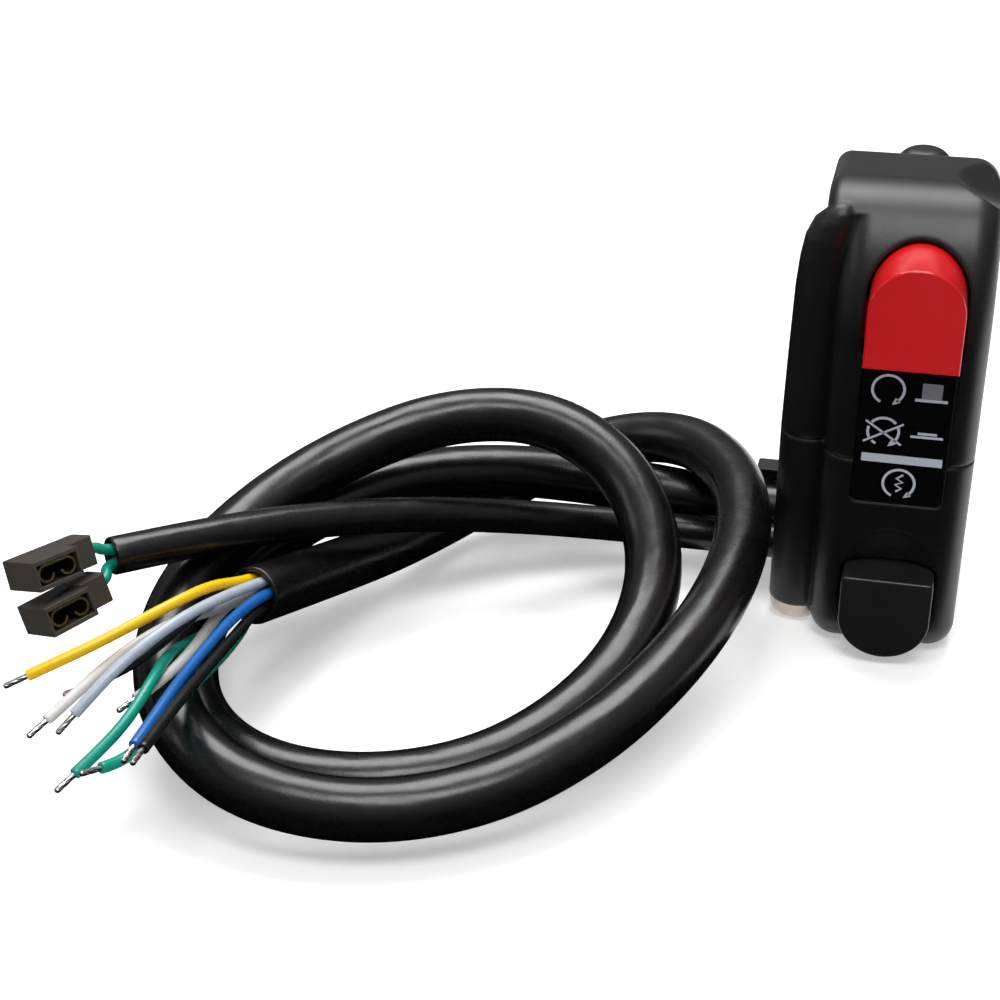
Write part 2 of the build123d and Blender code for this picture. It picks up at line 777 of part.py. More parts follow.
with BuildPart() as legend_plate:
    with BuildSketch(Plane.XZ.offset(-plate_back_y)):
        add(plate_outline.sketch_local)
    extrude(amount=plate_back_y - plate_front_y)
    fillet(legend_plate.faces().sort_by(Axis.Y)[0].edges(), plate_edge_round)

legend_plate.part.label = "legend_plate"
export_step(legend_plate.part, "parts/legend_plate.step")


# ---------------------------------------------------------------------------
# Stop button and its switch
# ---------------------------------------------------------------------------

kill_tab_half_width = kill_radius + kill_tab_reach
kill_stem_length = kill_stem_end_y - kill_back_y
groove_front_y = latch_hook_y - kill_travel - latch_groove_margin
groove_back_y = latch_hook_y + latch_groove_margin

with BuildPart() as kill_button:
    with BuildSketch(Plane.XZ.offset(-kill_face_y)):
        add(kill_outline.sketch_local)
    extrude(amount=kill_face_y - kill_back_y)
    fillet(kill_button.faces().sort_by(Axis.Y)[0].edges(), kill_edge_round)
    with BuildSketch(Plane.XZ.offset(-kill_tab_back_y)):
        with Locations((kill_centre_x, kill_tab_low_z)):
            Rectangle(2 * kill_tab_half_width, kill_tab_high_z - kill_tab_low_z,
                      align=(Align.CENTER, Align.MIN))
    extrude(amount=kill_tab_back_y - kill_tab_front_y)
    with BuildSketch(Plane.XZ.offset(-kill_stem_end_y)):
        with Locations((kill_centre_x, kill_axis_z)):
            Circle(stem_radius)
    extrude(amount=kill_stem_length)
    with BuildSketch(Plane.XZ.offset(-groove_back_y)):
        with Locations((kill_centre_x, latch_groove_floor_z)):
            Rectangle(latch_groove_width, 2 * stem_radius, align=(Align.CENTER, Align.MIN))
    extrude(amount=groove_back_y - groove_front_y, mode=Mode.SUBTRACT)

kill_button.part.label = "kill_button"
export_step(kill_button.part, "parts/kill_button.step")

with BuildPart() as kill_contact_bridge:
    with BuildSketch(Plane.XZ.offset(-kill_stem_end_y - bridge_thickness)):
        with Locations((kill_centre_x, kill_axis_z)):
            Rectangle(2 * bridge_half_width, 2 * bridge_half_height)
    extrude(amount=bridge_thickness)

kill_contact_bridge.part.label = "kill_contact_bridge"
export_step(kill_contact_bridge.part, "parts/kill_contact_bridge.step")

with BuildPart() as kill_switch_body:
    with BuildSketch(Plane.XZ.offset(-kill_body_back_y)):
        with Locations((kill_centre_x, kill_body_low_z)):
            Rectangle(2 * switch_half_width, kill_body_high_z - kill_body_low_z,
                      align=(Align.CENTER, Align.MIN))
    extrude(amount=kill_body_back_y - kill_body_front_y)
    fillet(kill_switch_body.edges(), switch_edge_round)
    with BuildSketch(Plane.XZ.offset(-kill_chamber_back_y)):
        with Locations((kill_centre_x, kill_axis_z)):
            Rectangle(2 * (bridge_half_width + chamber_side_gap), 2 * kill_chamber_half_height)
    extrude(amount=kill_chamber_back_y - kill_body_front_y - switch_wall, mode=Mode.SUBTRACT)
    with BuildSketch(Plane.XZ.offset(-kill_chamber_back_y)):
        with Locations((kill_centre_x, kill_axis_z)):
            Circle(stem_radius + stem_clearance)
    extrude(amount=kill_chamber_back_y - kill_body_front_y, mode=Mode.SUBTRACT)
    with BuildSketch(Plane.XZ.offset(-kill_body_back_y)):
        with Locations(*[(x, kill_axis_z) for x in kill_contacts_x]):
            Rectangle(contact_width + 2 * contact_clearance,
                      contact_thickness + 2 * contact_clearance)
    extrude(amount=kill_body_back_y - kill_chamber_back_y, mode=Mode.SUBTRACT)
    with BuildSketch(Plane.XY.offset(latch_root_z - latch_radius)):
        with Locations((kill_centre_x, latch_root_y)):
            Circle(latch_radius + latch_hole_clearance)
    extrude(amount=kill_body_high_z, mode=Mode.SUBTRACT)

kill_switch_body.part.label = "kill_switch_body"
export_step(kill_switch_body.part, "parts/kill_switch_body.step")

with BuildPart() as kill_fixed_contacts:
    with BuildSketch(Plane.XZ.offset(-kill_pin_end_y)):
        with Locations(*[(x, kill_axis_z) for x in kill_contacts_x]):
            Rectangle(contact_width, contact_thickness)
    extrude(amount=kill_pin_end_y - kill_contact_y)

kill_fixed_contacts.part.label = "kill_fixed_contacts"
export_step(kill_fixed_contacts.part, "parts/kill_fixed_contacts.step")

spring_inset = spring_wire_radius + spring_end_gap
kill_spring_front_y = kill_stem_end_y + bridge_thickness + spring_inset
kill_spring_length = kill_chamber_back_y - spring_inset - kill_spring_front_y
kill_spring_pitch = kill_spring_length / kill_spring_turns
with BuildPart() as kill_return_spring:
    with BuildLine() as kill_coil:
        Helix(kill_spring_pitch, kill_spring_length, spring_radius,
              center=(kill_centre_x, kill_spring_front_y, kill_axis_z), direction=(0, 1, 0))
    with BuildSketch(Plane(origin=kill_coil.line @ 0, z_dir=kill_coil.line % 0)):
        Circle(spring_wire_radius)
    sweep(path=kill_coil.wires()[0], is_frenet=True)

kill_return_spring.part.label = "kill_return_spring"
export_step(kill_return_spring.part, "parts/kill_return_spring.step")

with BuildPart() as kill_latch_pin:
    with BuildLine() as latch_path:
        FilletPolyline(
            (kill_centre_x, latch_hook_y, latch_hook_z),
            (kill_centre_x, latch_hook_y, latch_top_z),
            (kill_centre_x, latch_root_y, latch_top_z),
            (kill_centre_x, latch_root_y, latch_root_z),
            radius=latch_bend_radius,
        )
    with BuildSketch(Plane(origin=latch_path.line @ 0, z_dir=latch_path.line % 0)):
        Circle(latch_radius)
    sweep(path=latch_path.wires()[0])

kill_latch_pin.part.label = "kill_latch_pin"
export_step(kill_latch_pin.part, "parts/kill_latch_pin.step")


# ---------------------------------------------------------------------------
# Start button and its switch
# ---------------------------------------------------------------------------

start_tab_half_width = start_half_width + start_tab_reach
start_stem_length = start_stem_end_y - start_back_y

with BuildPart() as start_button:
    with BuildSketch(Plane.XZ.offset(-start_face_y)):
        add(start_outline.sketch_local)
    extrude(amount=start_face_y - start_back_y)
    fillet(start_button.faces().sort_by(Axis.Y)[0].edges(), start_edge_round)
    with BuildSketch(Plane.XZ.offset(-start_tab_back_y)):
        with Locations((start_centre_x, start_tab_low_z)):
            Rectangle(2 * start_tab_half_width, start_tab_high_z - start_tab_low_z,
                      align=(Align.CENTER, Align.MIN))
    extrude(amount=start_tab_back_y - start_tab_front_y)
    with BuildSketch(Plane.XZ.offset(-start_stem_end_y)):
        with Locations((start_centre_x, start_axis_z)):
            Circle(stem_radius)
    extrude(amount=start_stem_length)

start_button.part.label = "start_button"
export_step(start_button.part, "parts/start_button.step")

with BuildPart() as start_contact_bridge:
    with BuildSketch(Plane.XZ.offset(-start_stem_end_y - bridge_thickness)):
        with Locations((start_centre_x, start_axis_z)):
            Rectangle(2 * bridge_half_width, 2 * bridge_half_height)
    extrude(amount=bridge_thickness)

start_contact_bridge.part.label = "start_contact_bridge"
export_step(start_contact_bridge.part, "parts/start_contact_bridge.step")

with BuildPart() as start_switch_body:
    with BuildSketch(Plane.XZ.offset(-start_body_back_y)):
        with Locations((start_centre_x, start_body_low_z)):
            Rectangle(2 * switch_half_width, start_body_high_z - start_body_low_z,
                      align=(Align.CENTER, Align.MIN))
    extrude(amount=start_body_back_y - start_body_front_y)
    fillet(start_switch_body.edges(), switch_edge_round)
    with BuildSketch(Plane.XZ.offset(-start_chamber_back_y)):
        with Locations((start_centre_x, start_axis_z)):
            Rectangle(2 * (bridge_half_width + chamber_side_gap), 2 * start_chamber_half_height)
    extrude(amount=start_chamber_back_y - start_body_front_y - switch_wall, mode=Mode.SUBTRACT)
    with BuildSketch(Plane.XZ.offset(-start_chamber_back_y)):
        with Locations((start_centre_x, start_axis_z)):
            Circle(stem_radius + stem_clearance)
    extrude(amount=start_chamber_back_y - start_body_front_y, mode=Mode.SUBTRACT)
    with BuildSketch(Plane.XZ.offset(-start_body_back_y)):
        with Locations(*[(x, start_axis_z) for x in start_contacts_x]):
            Rectangle(contact_width + 2 * contact_clearance,
                      contact_thickness + 2 * contact_clearance)
    extrude(amount=start_body_back_y - start_chamber_back_y, mode=Mode.SUBTRACT)

start_switch_body.part.label = "start_switch_body"
export_step(start_switch_body.part, "parts/start_switch_body.step")

with BuildPart() as start_fixed_contacts:
    with BuildSketch(Plane.XZ.offset(-start_pin_end_y)):
        with Locations(*[(x, start_axis_z) for x in start_contacts_x]):
            Rectangle(contact_width, contact_thickness)
    extrude(amount=start_pin_end_y - start_contact_y)

start_fixed_contacts.part.label = "start_fixed_contacts"
export_step(start_fixed_contacts.part, "parts/start_fixed_contacts.step")

start_spring_front_y = start_stem_end_y + bridge_thickness + spring_inset
start_spring_length = start_chamber_back_y - spring_inset - start_spring_front_y
start_spring_pitch = start_spring_length / start_spring_turns
with BuildPart() as start_return_spring:
    with BuildLine() as start_coil:
        Helix(start_spring_pitch, start_spring_length, spring_radius,
              center=(start_centre_x, start_spring_front_y, start_axis_z), direction=(0, 1, 0))
    with BuildSketch(Plane(origin=start_coil.line @ 0, z_dir=start_coil.line % 0)):
        Circle(spring_wire_radius)
    sweep(path=start_coil.wires()[0], is_frenet=True)

start_return_spring.part.label = "start_return_spring"
export_step(start_return_spring.part, "parts/start_return_spring.step")

print("kill spring gap between turns", round(kill_spring_pitch - 2 * spring_wire_radius, 2))
print("start spring gap between turns", round(start_spring_pitch - 2 * spring_wire_radius, 2))


# ---------------------------------------------------------------------------
# Clamp screws, washers and inserts
# ---------------------------------------------------------------------------

with BuildPart() as screw:
    with BuildSketch(Plane.XY.offset(screw_head_z)):
        Circle(screw_head_radius)
    extrude(amount=-screw_head_height)
    fillet(screw.faces().sort_by(Axis.Z)[0].edges(), screw_head_round)
    with BuildSketch(Plane.XY.offset(screw_head_z - screw_head_height)):
        RegularPolygon(screw_socket_across / 2, 6, major_radius=False)
    extrude(amount=screw_socket_depth, mode=Mode.SUBTRACT)
    with BuildSketch(Plane.XY.offset(screw_head_z)):
        Circle(screw_radius)
    extrude(amount=screw_tip_z - screw_head_z)
    chamfer(screw.faces().sort_by(Axis.Z)[-1].edges(), screw_tip_chamfer)

with BuildPart() as clamp_screw_front:
    with Locations((front_column_x, front_column_y)):
        add(screw.part)

clamp_screw_front.part.label = "clamp_screw_front"
export_step(clamp_screw_front.part, "parts/clamp_screw_front.step")

with BuildPart() as clamp_screw_rear:
    with Locations((rear_column_x, rear_column_y)):
        add(screw.part)

clamp_screw_rear.part.label = "clamp_screw_rear"
export_step(clamp_screw_rear.part, "parts/clamp_screw_rear.step")

with BuildPart() as clamp_washers:
    with BuildSketch(Plane.XY.offset(screw_head_z)):
        with Locations(*columns):
            Circle(washer_radius)
            Circle(screw_hole_radius, mode=Mode.SUBTRACT)
    extrude(amount=washer_thickness)

clamp_washers.part.label = "clamp_washers"
export_step(clamp_washers.part, "parts/clamp_washers.step")

insert_middle_z = insert_start_z + insert_length / 2
with BuildPart() as threaded_inserts:
    with BuildSketch(Plane.XY.offset(insert_start_z)):
        with Locations(*columns):
            Circle(insert_outer_radius)
    extrude(amount=insert_length)
    with BuildSketch(Plane.XY.offset(insert_middle_z - insert_groove_width / 2)):
        with Locations(*columns):
            Circle(insert_outer_radius)
            Circle(insert_outer_radius - insert_groove_depth, mode=Mode.SUBTRACT)
    extrude(amount=insert_groove_width, mode=Mode.SUBTRACT)
    with BuildSketch(Plane.XY.offset(insert_start_z)):
        with Locations(*columns):
            Circle(screw_radius + insert_bore_clearance)
    extrude(amount=insert_length, mode=Mode.SUBTRACT)

threaded_inserts.part.label = "threaded_inserts"
export_step(threaded_inserts.part, "parts/threaded_inserts.step")


# ---------------------------------------------------------------------------
# Cable grommet, guide and clip
# ---------------------------------------------------------------------------

main_exit = main_points[0][1:]
lead_exit = lead_points[0][1:]

with BuildPart() as cable_grommet:
    with BuildSketch(Plane.YZ.offset(body_left_x)):
        with Locations((grommet_y, grommet_z)):
            SlotOverall(grommet_flange_width, grommet_flange_height)
    extrude(amount=-grommet_flange_thickness)
    fillet(cable_grommet.faces().sort_by(Axis.X)[0].edges(), grommet_flange_round)
    with BuildSketch(Plane.YZ.offset(body_left_x)):
        with Locations((grommet_y, grommet_z)):
            SlotOverall(grommet_slot_width, grommet_slot_height)
    extrude(amount=grommet_inner_x - body_left_x)
    with BuildSketch(Plane.YZ.offset(grommet_inner_x)):
        with Locations(main_exit):
            Circle(main_radius + grommet_bore_clearance)
        with Locations(lead_exit):
            Circle(lead_radius + grommet_bore_clearance)
    extrude(amount=body_left_x - grommet_flange_thickness - grommet_inner_x, mode=Mode.SUBTRACT)

cable_grommet.part.label = "cable_grommet"
export_step(cable_grommet.part, "parts/cable_grommet.step")

with BuildPart() as cable_guide:
    with BuildSketch(Plane.YZ.offset(body_left_x)):
        with Locations((guide_front_y, guide_low_z)):
            Rectangle(guide_back_y - guide_front_y, guide_high_z - guide_low_z,
                      align=(Align.MIN, Align.MIN))
    extrude(amount=guide_left_x - body_left_x)
    fillet(cable_guide.faces().sort_by(Axis.X)[0].edges(), guide_round)

cable_guide.part.label = "cable_guide"
export_step(cable_guide.part, "parts/cable_guide.step")

with BuildPart() as guide_clip:
    with BuildSketch(Plane.YZ.offset(clip_right_x)):
        with BuildLine():
            Polyline(
                (clip_front_y, guide_low_z), (guide_back_y, guide_low_z),
                (guide_back_y, clip_skirt_low_z), (guide_back_y - clip_thickness, clip_skirt_low_z),
                (guide_back_y - clip_thickness, guide_low_z - clip_thickness),
                (clip_front_y, guide_low_z - clip_thickness), close=True,
            )
        make_face()
    extrude(amount=clip_left_x - clip_right_x)

guide_clip.part.label = "guide_clip"
export_step(guide_clip.part, "parts/guide_clip.step")


# ---------------------------------------------------------------------------
# Cables
# ---------------------------------------------------------------------------

main_end = end_frame(main_points)[0]
with BuildPart() as main_cable:
    add(tube(main_points, main_radius).part)
    with BuildSketch(Plane(origin=main_points[-1], z_dir=main_end)):
        Circle(main_bore_radius)
    extrude(amount=-main_bore_depth, mode=Mode.SUBTRACT)

main_cable.part.label = "main_cable"
export_step(main_cable.part, "parts/main_cable.step")

lead_end = end_frame(lead_points)[0]
with BuildPart() as lead_cable:
    add(tube(lead_points, lead_radius).part)
    with BuildSketch(Plane(origin=lead_points[-1], z_dir=lead_end)):
        Circle(lead_bore_radius)
    extrude(amount=-lead_bore_depth, mode=Mode.SUBTRACT)

lead_cable.part.label = "lead_cable"
export_step(lead_cable.part, "parts/lead_cable.step")

main_bore = math.pi * main_bore_radius**2 * main_bore_depth
lead_bore = math.pi * lead_bore_radius**2 * lead_bore_depth
report_tube("main_cable", main_points, main_radius, main_cable.part.volume, main_bore)
report_tube("lead_cable", lead_points, lead_radius, lead_cable.part.volume, lead_bore)


# ---------------------------------------------------------------------------
# Wires of the main cable and their tinned tips
# ---------------------------------------------------------------------------

yellow_points = wire_points(yellow_angle, wire_ring_radius, yellow_route)
wire_yellow = tube(yellow_points, wire_radius)
wire_yellow.part.label = "wire_yellow"
export_step(wire_yellow.part, "parts/wire_yellow.step")

grey_points = wire_points(grey_angle, wire_ring_radius, grey_route)
wire_grey = tube(grey_points, wire_radius)
wire_grey.part.label = "wire_grey"
export_step(wire_grey.part, "parts/wire_grey.step")

black_a_points = wire_points(black_a_angle, wire_ring_radius, black_a_route)
wire_black_a = tube(black_a_points, wire_radius)
wire_black_a.part.label = "wire_black_a"
export_step(wire_black_a.part, "parts/wire_black_a.step")

black_b_points = wire_points(black_b_angle, wire_ring_radius, black_b_route)
wire_black_b = tube(black_b_points, wire_radius)
wire_black_b.part.label = "wire_black_b"
export_step(wire_black_b.part, "parts/wire_black_b.step")

striped_a_points = wire_points(0, 0, striped_a_route)
wire_striped_a = tube(striped_a_points, wire_radius)
wire_striped_a.part.label = "wire_striped_a"
export_step(wire_striped_a.part, "parts/wire_striped_a.step")

striped_b_points = wire_points(striped_b_angle, wire_ring_radius, striped_b_route)
wire_striped_b = tube(striped_b_points, wire_radius)
wire_striped_b.part.label = "wire_striped_b"
export_step(wire_striped_b.part, "parts/wire_striped_b.step")

green_a_points = wire_points(green_a_angle, wire_ring_radius, green_a_route)
wire_green_a = tube(green_a_points, wire_radius)
wire_green_a.part.label = "wire_green_a"
export_step(wire_green_a.part, "parts/wire_green_a.step")

green_b_points = wire_points(green_b_angle, wire_ring_radius, green_b_route)
wire_green_b = tube(green_b_points, wire_radius)
wire_green_b.part.label = "wire_green_b"
export_step(wire_green_b.part, "parts/wire_green_b.step")

blue_points = wire_points(blue_angle, wire_ring_radius, blue_route)
wire_blue = tube(blue_points, wire_radius)
wire_blue.part.label = "wire_blue"
export_step(wire_blue.part, "parts/wire_blue.step")

harness = [
    yellow_points, grey_points, black_a_points, black_b_points, striped_a_points,
    striped_b_points, green_a_points, green_b_points, blue_points,
]
with BuildPart() as wire_tips:
    for points in harness:
        with BuildSketch(Plane(origin=points[-1], z_dir=Vector(points[-1]) - Vector(points[-2]))):
            Circle(tip_radius)
        extrude(amount=tip_length)

wire_tips.part.label = "wire_tips"
export_step(wire_tips.part, "parts/wire_tips.step")
for points in harness:
    print("wire bends", [round(radius, 1) for radius in bend_radii(points)])


# ---------------------------------------------------------------------------
# Flag receptacles and the two lead wires
# ---------------------------------------------------------------------------

upper_flag = flag_plane(upper_flag_corner, upper_flag_across, upper_flag_inward)
lower_flag = flag_plane(lower_flag_corner, lower_flag_across, lower_flag_inward)

flag_housing_upper = flag_housing(upper_flag)
flag_housing_upper.part.label = "flag_housing_upper"
export_step(flag_housing_upper.part, "parts/flag_housing_upper.step")

flag_housing_lower = flag_housing(lower_flag)
flag_housing_lower.part.label = "flag_housing_lower"
export_step(flag_housing_lower.part, "parts/flag_housing_lower.step")

flag_terminal_upper = flag_terminal(upper_flag)
flag_terminal_upper.part.label = "flag_terminal_upper"
export_step(flag_terminal_upper.part, "parts/flag_terminal_upper.step")

flag_terminal_lower = flag_terminal(lower_flag)
flag_terminal_lower.part.label = "flag_terminal_lower"
export_step(flag_terminal_lower.part, "parts/flag_terminal_lower.step")

upper_lead_points = lead_wire_points(upper_flag, lead_wire_offset)
lead_wire_upper = tube(upper_lead_points, wire_radius)
lead_wire_upper.part.label = "lead_wire_upper"
export_step(lead_wire_upper.part, "parts/lead_wire_upper.step")

lower_lead_points = lead_wire_points(lower_flag, -lead_wire_offset)
lead_wire_lower = tube(lower_lead_points, wire_radius)
lead_wire_lower.part.label = "lead_wire_lower"
export_step(lead_wire_lower.part, "parts/lead_wire_lower.step")

print("lead wire bends", [round(r, 1) for r in bend_radii(upper_lead_points)],
      [round(r, 1) for r in bend_radii(lower_lead_points)])
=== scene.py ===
# %% [markdown]
# # A handlebar switch cluster with its loom
# The object is a black two-part housing that clamps round a handlebar, with a red stop
# button, a printed legend plate and a black start button. Two sleeved cables leave its left
# flank, lie in loops on the table and end in bare wires and two flag receptacles.
# The rigid parts come from the imported model as a fixed frame, in metres, and stay as they
# are. Here they get their finishes, and the soft parts and the print are modelled.

# %% The frame and the units of the model as packed
import math

import bpy
import numpy as np
from mathutils import Matrix


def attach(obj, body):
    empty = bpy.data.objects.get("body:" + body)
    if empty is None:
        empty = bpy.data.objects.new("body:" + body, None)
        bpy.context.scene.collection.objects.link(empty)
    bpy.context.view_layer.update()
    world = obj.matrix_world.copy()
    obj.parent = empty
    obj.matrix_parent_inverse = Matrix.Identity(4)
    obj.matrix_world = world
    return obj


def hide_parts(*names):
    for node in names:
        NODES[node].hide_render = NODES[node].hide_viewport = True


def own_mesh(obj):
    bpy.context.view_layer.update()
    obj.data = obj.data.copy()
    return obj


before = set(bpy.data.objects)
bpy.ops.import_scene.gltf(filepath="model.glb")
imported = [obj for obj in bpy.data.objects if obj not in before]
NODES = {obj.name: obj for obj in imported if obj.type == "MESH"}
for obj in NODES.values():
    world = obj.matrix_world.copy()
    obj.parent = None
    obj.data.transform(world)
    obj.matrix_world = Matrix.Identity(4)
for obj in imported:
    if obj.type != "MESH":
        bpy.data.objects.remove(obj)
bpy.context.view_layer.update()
MM = 0.001


# %% [markdown]
# ## The camera
# The photograph looks down on the table from the front and a little from the right, with the
# housing near the right edge. The camera's turn is worked out from three angles, so that
# each can be changed by itself, and a long lens keeps the perspective as calm as it is there.

# %% The camera
AZIMUTH, ELEVATION, ROLL = math.radians(-13.5), math.radians(30.0), math.radians(-0.89)
CAMERA_PLACE = (-0.95 * MM, -285.6 * MM, 140.4 * MM)
LENS_MM, SENSOR_MM = 65.7, 36.0
forward = np.array([
    math.sin(AZIMUTH) * math.cos(ELEVATION),
    math.cos(AZIMUTH) * math.cos(ELEVATION),
    -math.sin(ELEVATION),
])
level = np.array([math.cos(AZIMUTH), -math.sin(AZIMUTH), 0.0])
plumb = np.cross(level, forward)
right = math.cos(ROLL) * level + math.sin(ROLL) * plumb
up = math.cos(ROLL) * plumb - math.sin(ROLL) * level
camera = bpy.data.objects.new("camera", bpy.data.cameras.new("camera"))
bpy.context.collection.objects.link(camera)
turn = Matrix(np.column_stack([right, up, -forward]).tolist()).to_4x4()
camera.matrix_world = Matrix.Translation(CAMERA_PLACE) @ turn
camera.data.lens, camera.data.sensor_width = LENS_MM, SENSOR_MM
camera.data.clip_start, camera.data.clip_end = 0.02, 20.0
bpy.context.scene.camera = camera
print("camera lens", camera.data.lens, "mm")


# %% [markdown]
# ## Lines for the cords
# A cable bends evenly, so its middle line is a smooth spline whose control points are the
# corners of the route that the solids follow. The spline is read back as points, and every
# tube is carried along those points.

# %% The spline through a route's control points
def spline_line(route, steps=14):
    """A NURBS curve of order 3 that starts and ends on the route's end points, read as points."""
    data = bpy.data.curves.new("route", "CURVE")
    data.dimensions = "3D"
    data.resolution_u = steps
    spline = data.splines.new("NURBS")
    spline.points.add(len(route) - 1)
    spline.points.foreach_set("co", np.column_stack([route, np.ones(len(route))]).ravel())
    spline.order_u = 3
    spline.use_endpoint_u = True
    carrier = bpy.data.objects.new("route", data)
    mesh = bpy.data.meshes.new_from_object(carrier)
    line = np.empty(3 * len(mesh.vertices))
    mesh.vertices.foreach_get("co", line)
    bpy.data.objects.remove(carrier)
    bpy.data.curves.remove(data)
    bpy.data.meshes.remove(mesh)
    return line.reshape(-1, 3)


# %% Directions along a line
def directions(line):
    """Along, right and up for each point: up is the part of Z that is square to the line."""
    along = np.gradient(line, axis=0)
    along /= np.linalg.norm(along, axis=1, keepdims=True)
    upright = np.array([0.0, 0.0, 1.0]) - along * along[:, 2:]
    upright /= np.linalg.norm(upright, axis=1, keepdims=True)
    return along, np.cross(upright, along), upright


def distances(line):
    """How far along the line each of its points is, in metres."""
    return np.concatenate([[0.0], np.cumsum(np.linalg.norm(np.diff(line, axis=0), axis=1))])


# %% [markdown]
# ## Skins
# Every tube, strand and printed stroke is one closed skin: rings of points one after the
# other, four-sided faces between them, and a fan of triangles that closes each end. Its map
# runs once round the ring in U and gives the length in metres in V, so a stripe or a streak
# can follow the piece.

# %% A closed skin from rings of points
def skin(name, rings, lengths, material, smooth=True):
    """rings is rows x sides x 3. Faces join each ring to the next and point outwards."""
    rows, sides = rings.shape[:2]
    here = np.arange(rows * sides).reshape(rows, sides)
    beside = np.roll(here, -1, axis=1)
    quads = np.stack([here[:-1], beside[:-1], beside[1:], here[1:]], axis=-1).reshape(-1, 4)
    first, last = rows * sides, rows * sides + 1
    fans = np.concatenate([
        np.column_stack([np.full(sides, first), beside[0], here[0]]),
        np.column_stack([np.full(sides, last), here[-1], beside[-1]]),
    ])
    points = np.concatenate([rings.reshape(-1, 3), rings[[0, -1]].mean(axis=1)])
    mesh = bpy.data.meshes.new(name)
    mesh.from_pydata(points.tolist(), [], quads.tolist() + fans.tolist())
    round_share = np.arange(sides) / sides
    next_share = round_share + 1 / sides
    u = np.stack([round_share, next_share, next_share, round_share], axis=-1)
    v = np.stack([lengths[:-1], lengths[:-1], lengths[1:], lengths[1:]], axis=-1)
    u, v = np.tile(u, (rows - 1, 1, 1)), np.repeat(v[:, None], sides, axis=1)
    quad_map = np.stack([u, v], axis=-1)
    fan_map = np.column_stack([np.full(6 * sides, 0.5), np.repeat(lengths[[0, -1]], 3 * sides)])
    layer = mesh.uv_layers.new(name="along")
    layer.data.foreach_set("uv", np.concatenate([quad_map.reshape(-1, 2), fan_map]).ravel())
    mesh.polygons.foreach_set("use_smooth", np.full(len(mesh.polygons), smooth))
    mesh.materials.append(material)
    mesh.update()
    piece = bpy.data.objects.new(name, mesh)
    bpy.context.collection.objects.link(piece)
    return piece


# %% A round profile carried along a line
def carried(line, stations, radii, sides):
    """P(s, a) = C(s) + r (cos a * right + sin a * up), for each station s and angle a."""
    travelled = distances(line)

    def sample(field):
        return np.column_stack([np.interp(stations, travelled, field[:, k]) for k in range(3)])

    _, sideways, upright = (sample(field)[:, None] for field in directions(line))
    angle = (2 * math.pi * np.arange(sides) / sides)[None, :, None]
    radius = np.asarray(radii, float).reshape(len(stations), -1)
    radius = np.broadcast_to(radius, (len(stations), sides))[..., None]
    return sample(line)[:, None] + radius * (np.cos(angle) * sideways + np.sin(angle) * upright)


# %% [markdown]
# ## Colour and nodes
# Colours are chosen as they look on a screen, in hex, and Blender wants them linear. Two
# small helpers do all the work: one turns the hex, the other adds a node.

# %% From a screen colour to a linear one
def linear(code):
    """Each channel c becomes ((c + 0.055) / 1.055) ** 2.4, or c / 12.92 near black."""
    channel = np.array([int(code[k:k + 2], 16) for k in (1, 3, 5)]) / 255
    value = np.where(channel <= 0.04045, channel / 12.92, ((channel + 0.055) / 1.055) ** 2.4)
    return (*value.tolist(), 1.0)


# %% One node with its settings and links
def add(tree, kind, links=None, **settings):
    """links maps an input's name or number to a socket or to a plain value."""
    node = tree.nodes.new("ShaderNode" + kind)
    for name, value in settings.items():
        setattr(node, name, value)
    for key, value in (links or {}).items():
        if isinstance(value, bpy.types.NodeSocket):
            tree.links.new(value, node.inputs[key])
        else:
            node.inputs[key].default_value = value
    return node


def blank(name):
    """A material with an empty node tree, and the tree."""
    material = bpy.data.materials.new(name)
    material.use_nodes = True
    material.node_tree.nodes.clear()
    return material, material.node_tree


# %% [markdown]
# ## Black ABS of the housing
# The two shells are injection moulded in ABS from a spark-eroded mould, which leaves a fine
# even grain. It scatters the highlights into a broad grey sheen on the faces that look up
# and keeps the upright faces almost black. The real grain is near 0.15 mm; it is drawn at
# 0.34 mm, about two pixels, so that it just shows.

# %% Housing plastic
def grained_plastic(name, dark, light, grain, depth, roughness, ior=1.53, softened=0.2 * MM):
    """Two close tones in slow clouds, a bump of the grain's size and depth, slightly uneven
    gloss, and edges whose shading is rounded over the softened distance."""
    material, tree = blank(name)
    place = add(tree, "TexCoord").outputs["Object"]
    cloud = add(tree, "TexNoise", {
        "Vector": place, "Scale": 1 / (11 * MM), "Detail": 3.0, "Roughness": 0.55,
    })
    spark = add(tree, "TexNoise", {
        "Vector": place, "Scale": 1 / grain, "Detail": 2.0, "Roughness": 0.6,
    })
    tone = add(tree, "Mix", {
        0: cloud.outputs["Fac"], 6: linear(dark), 7: linear(light),
    }, data_type="RGBA")
    gloss = add(tree, "MapRange", {
        "Value": cloud.outputs["Fac"], "From Min": 0.3, "From Max": 0.7,
        "To Min": roughness - 0.035, "To Max": roughness + 0.035,
    })
    rounding = add(tree, "Bevel", {"Radius": softened}, samples=6)
    relief = add(tree, "Bump", {
        "Height": spark.outputs["Fac"], "Strength": 0.6, "Distance": depth,
        "Normal": rounding.outputs[0],
    })
    shader = add(tree, "BsdfPrincipled", {
        "Base Color": tone.outputs[2], "Roughness": gloss.outputs[0], "IOR": ior,
        "Normal": relief.outputs[0],
    })
    add(tree, "OutputMaterial", {"Surface": shader.outputs[0]})
    return material


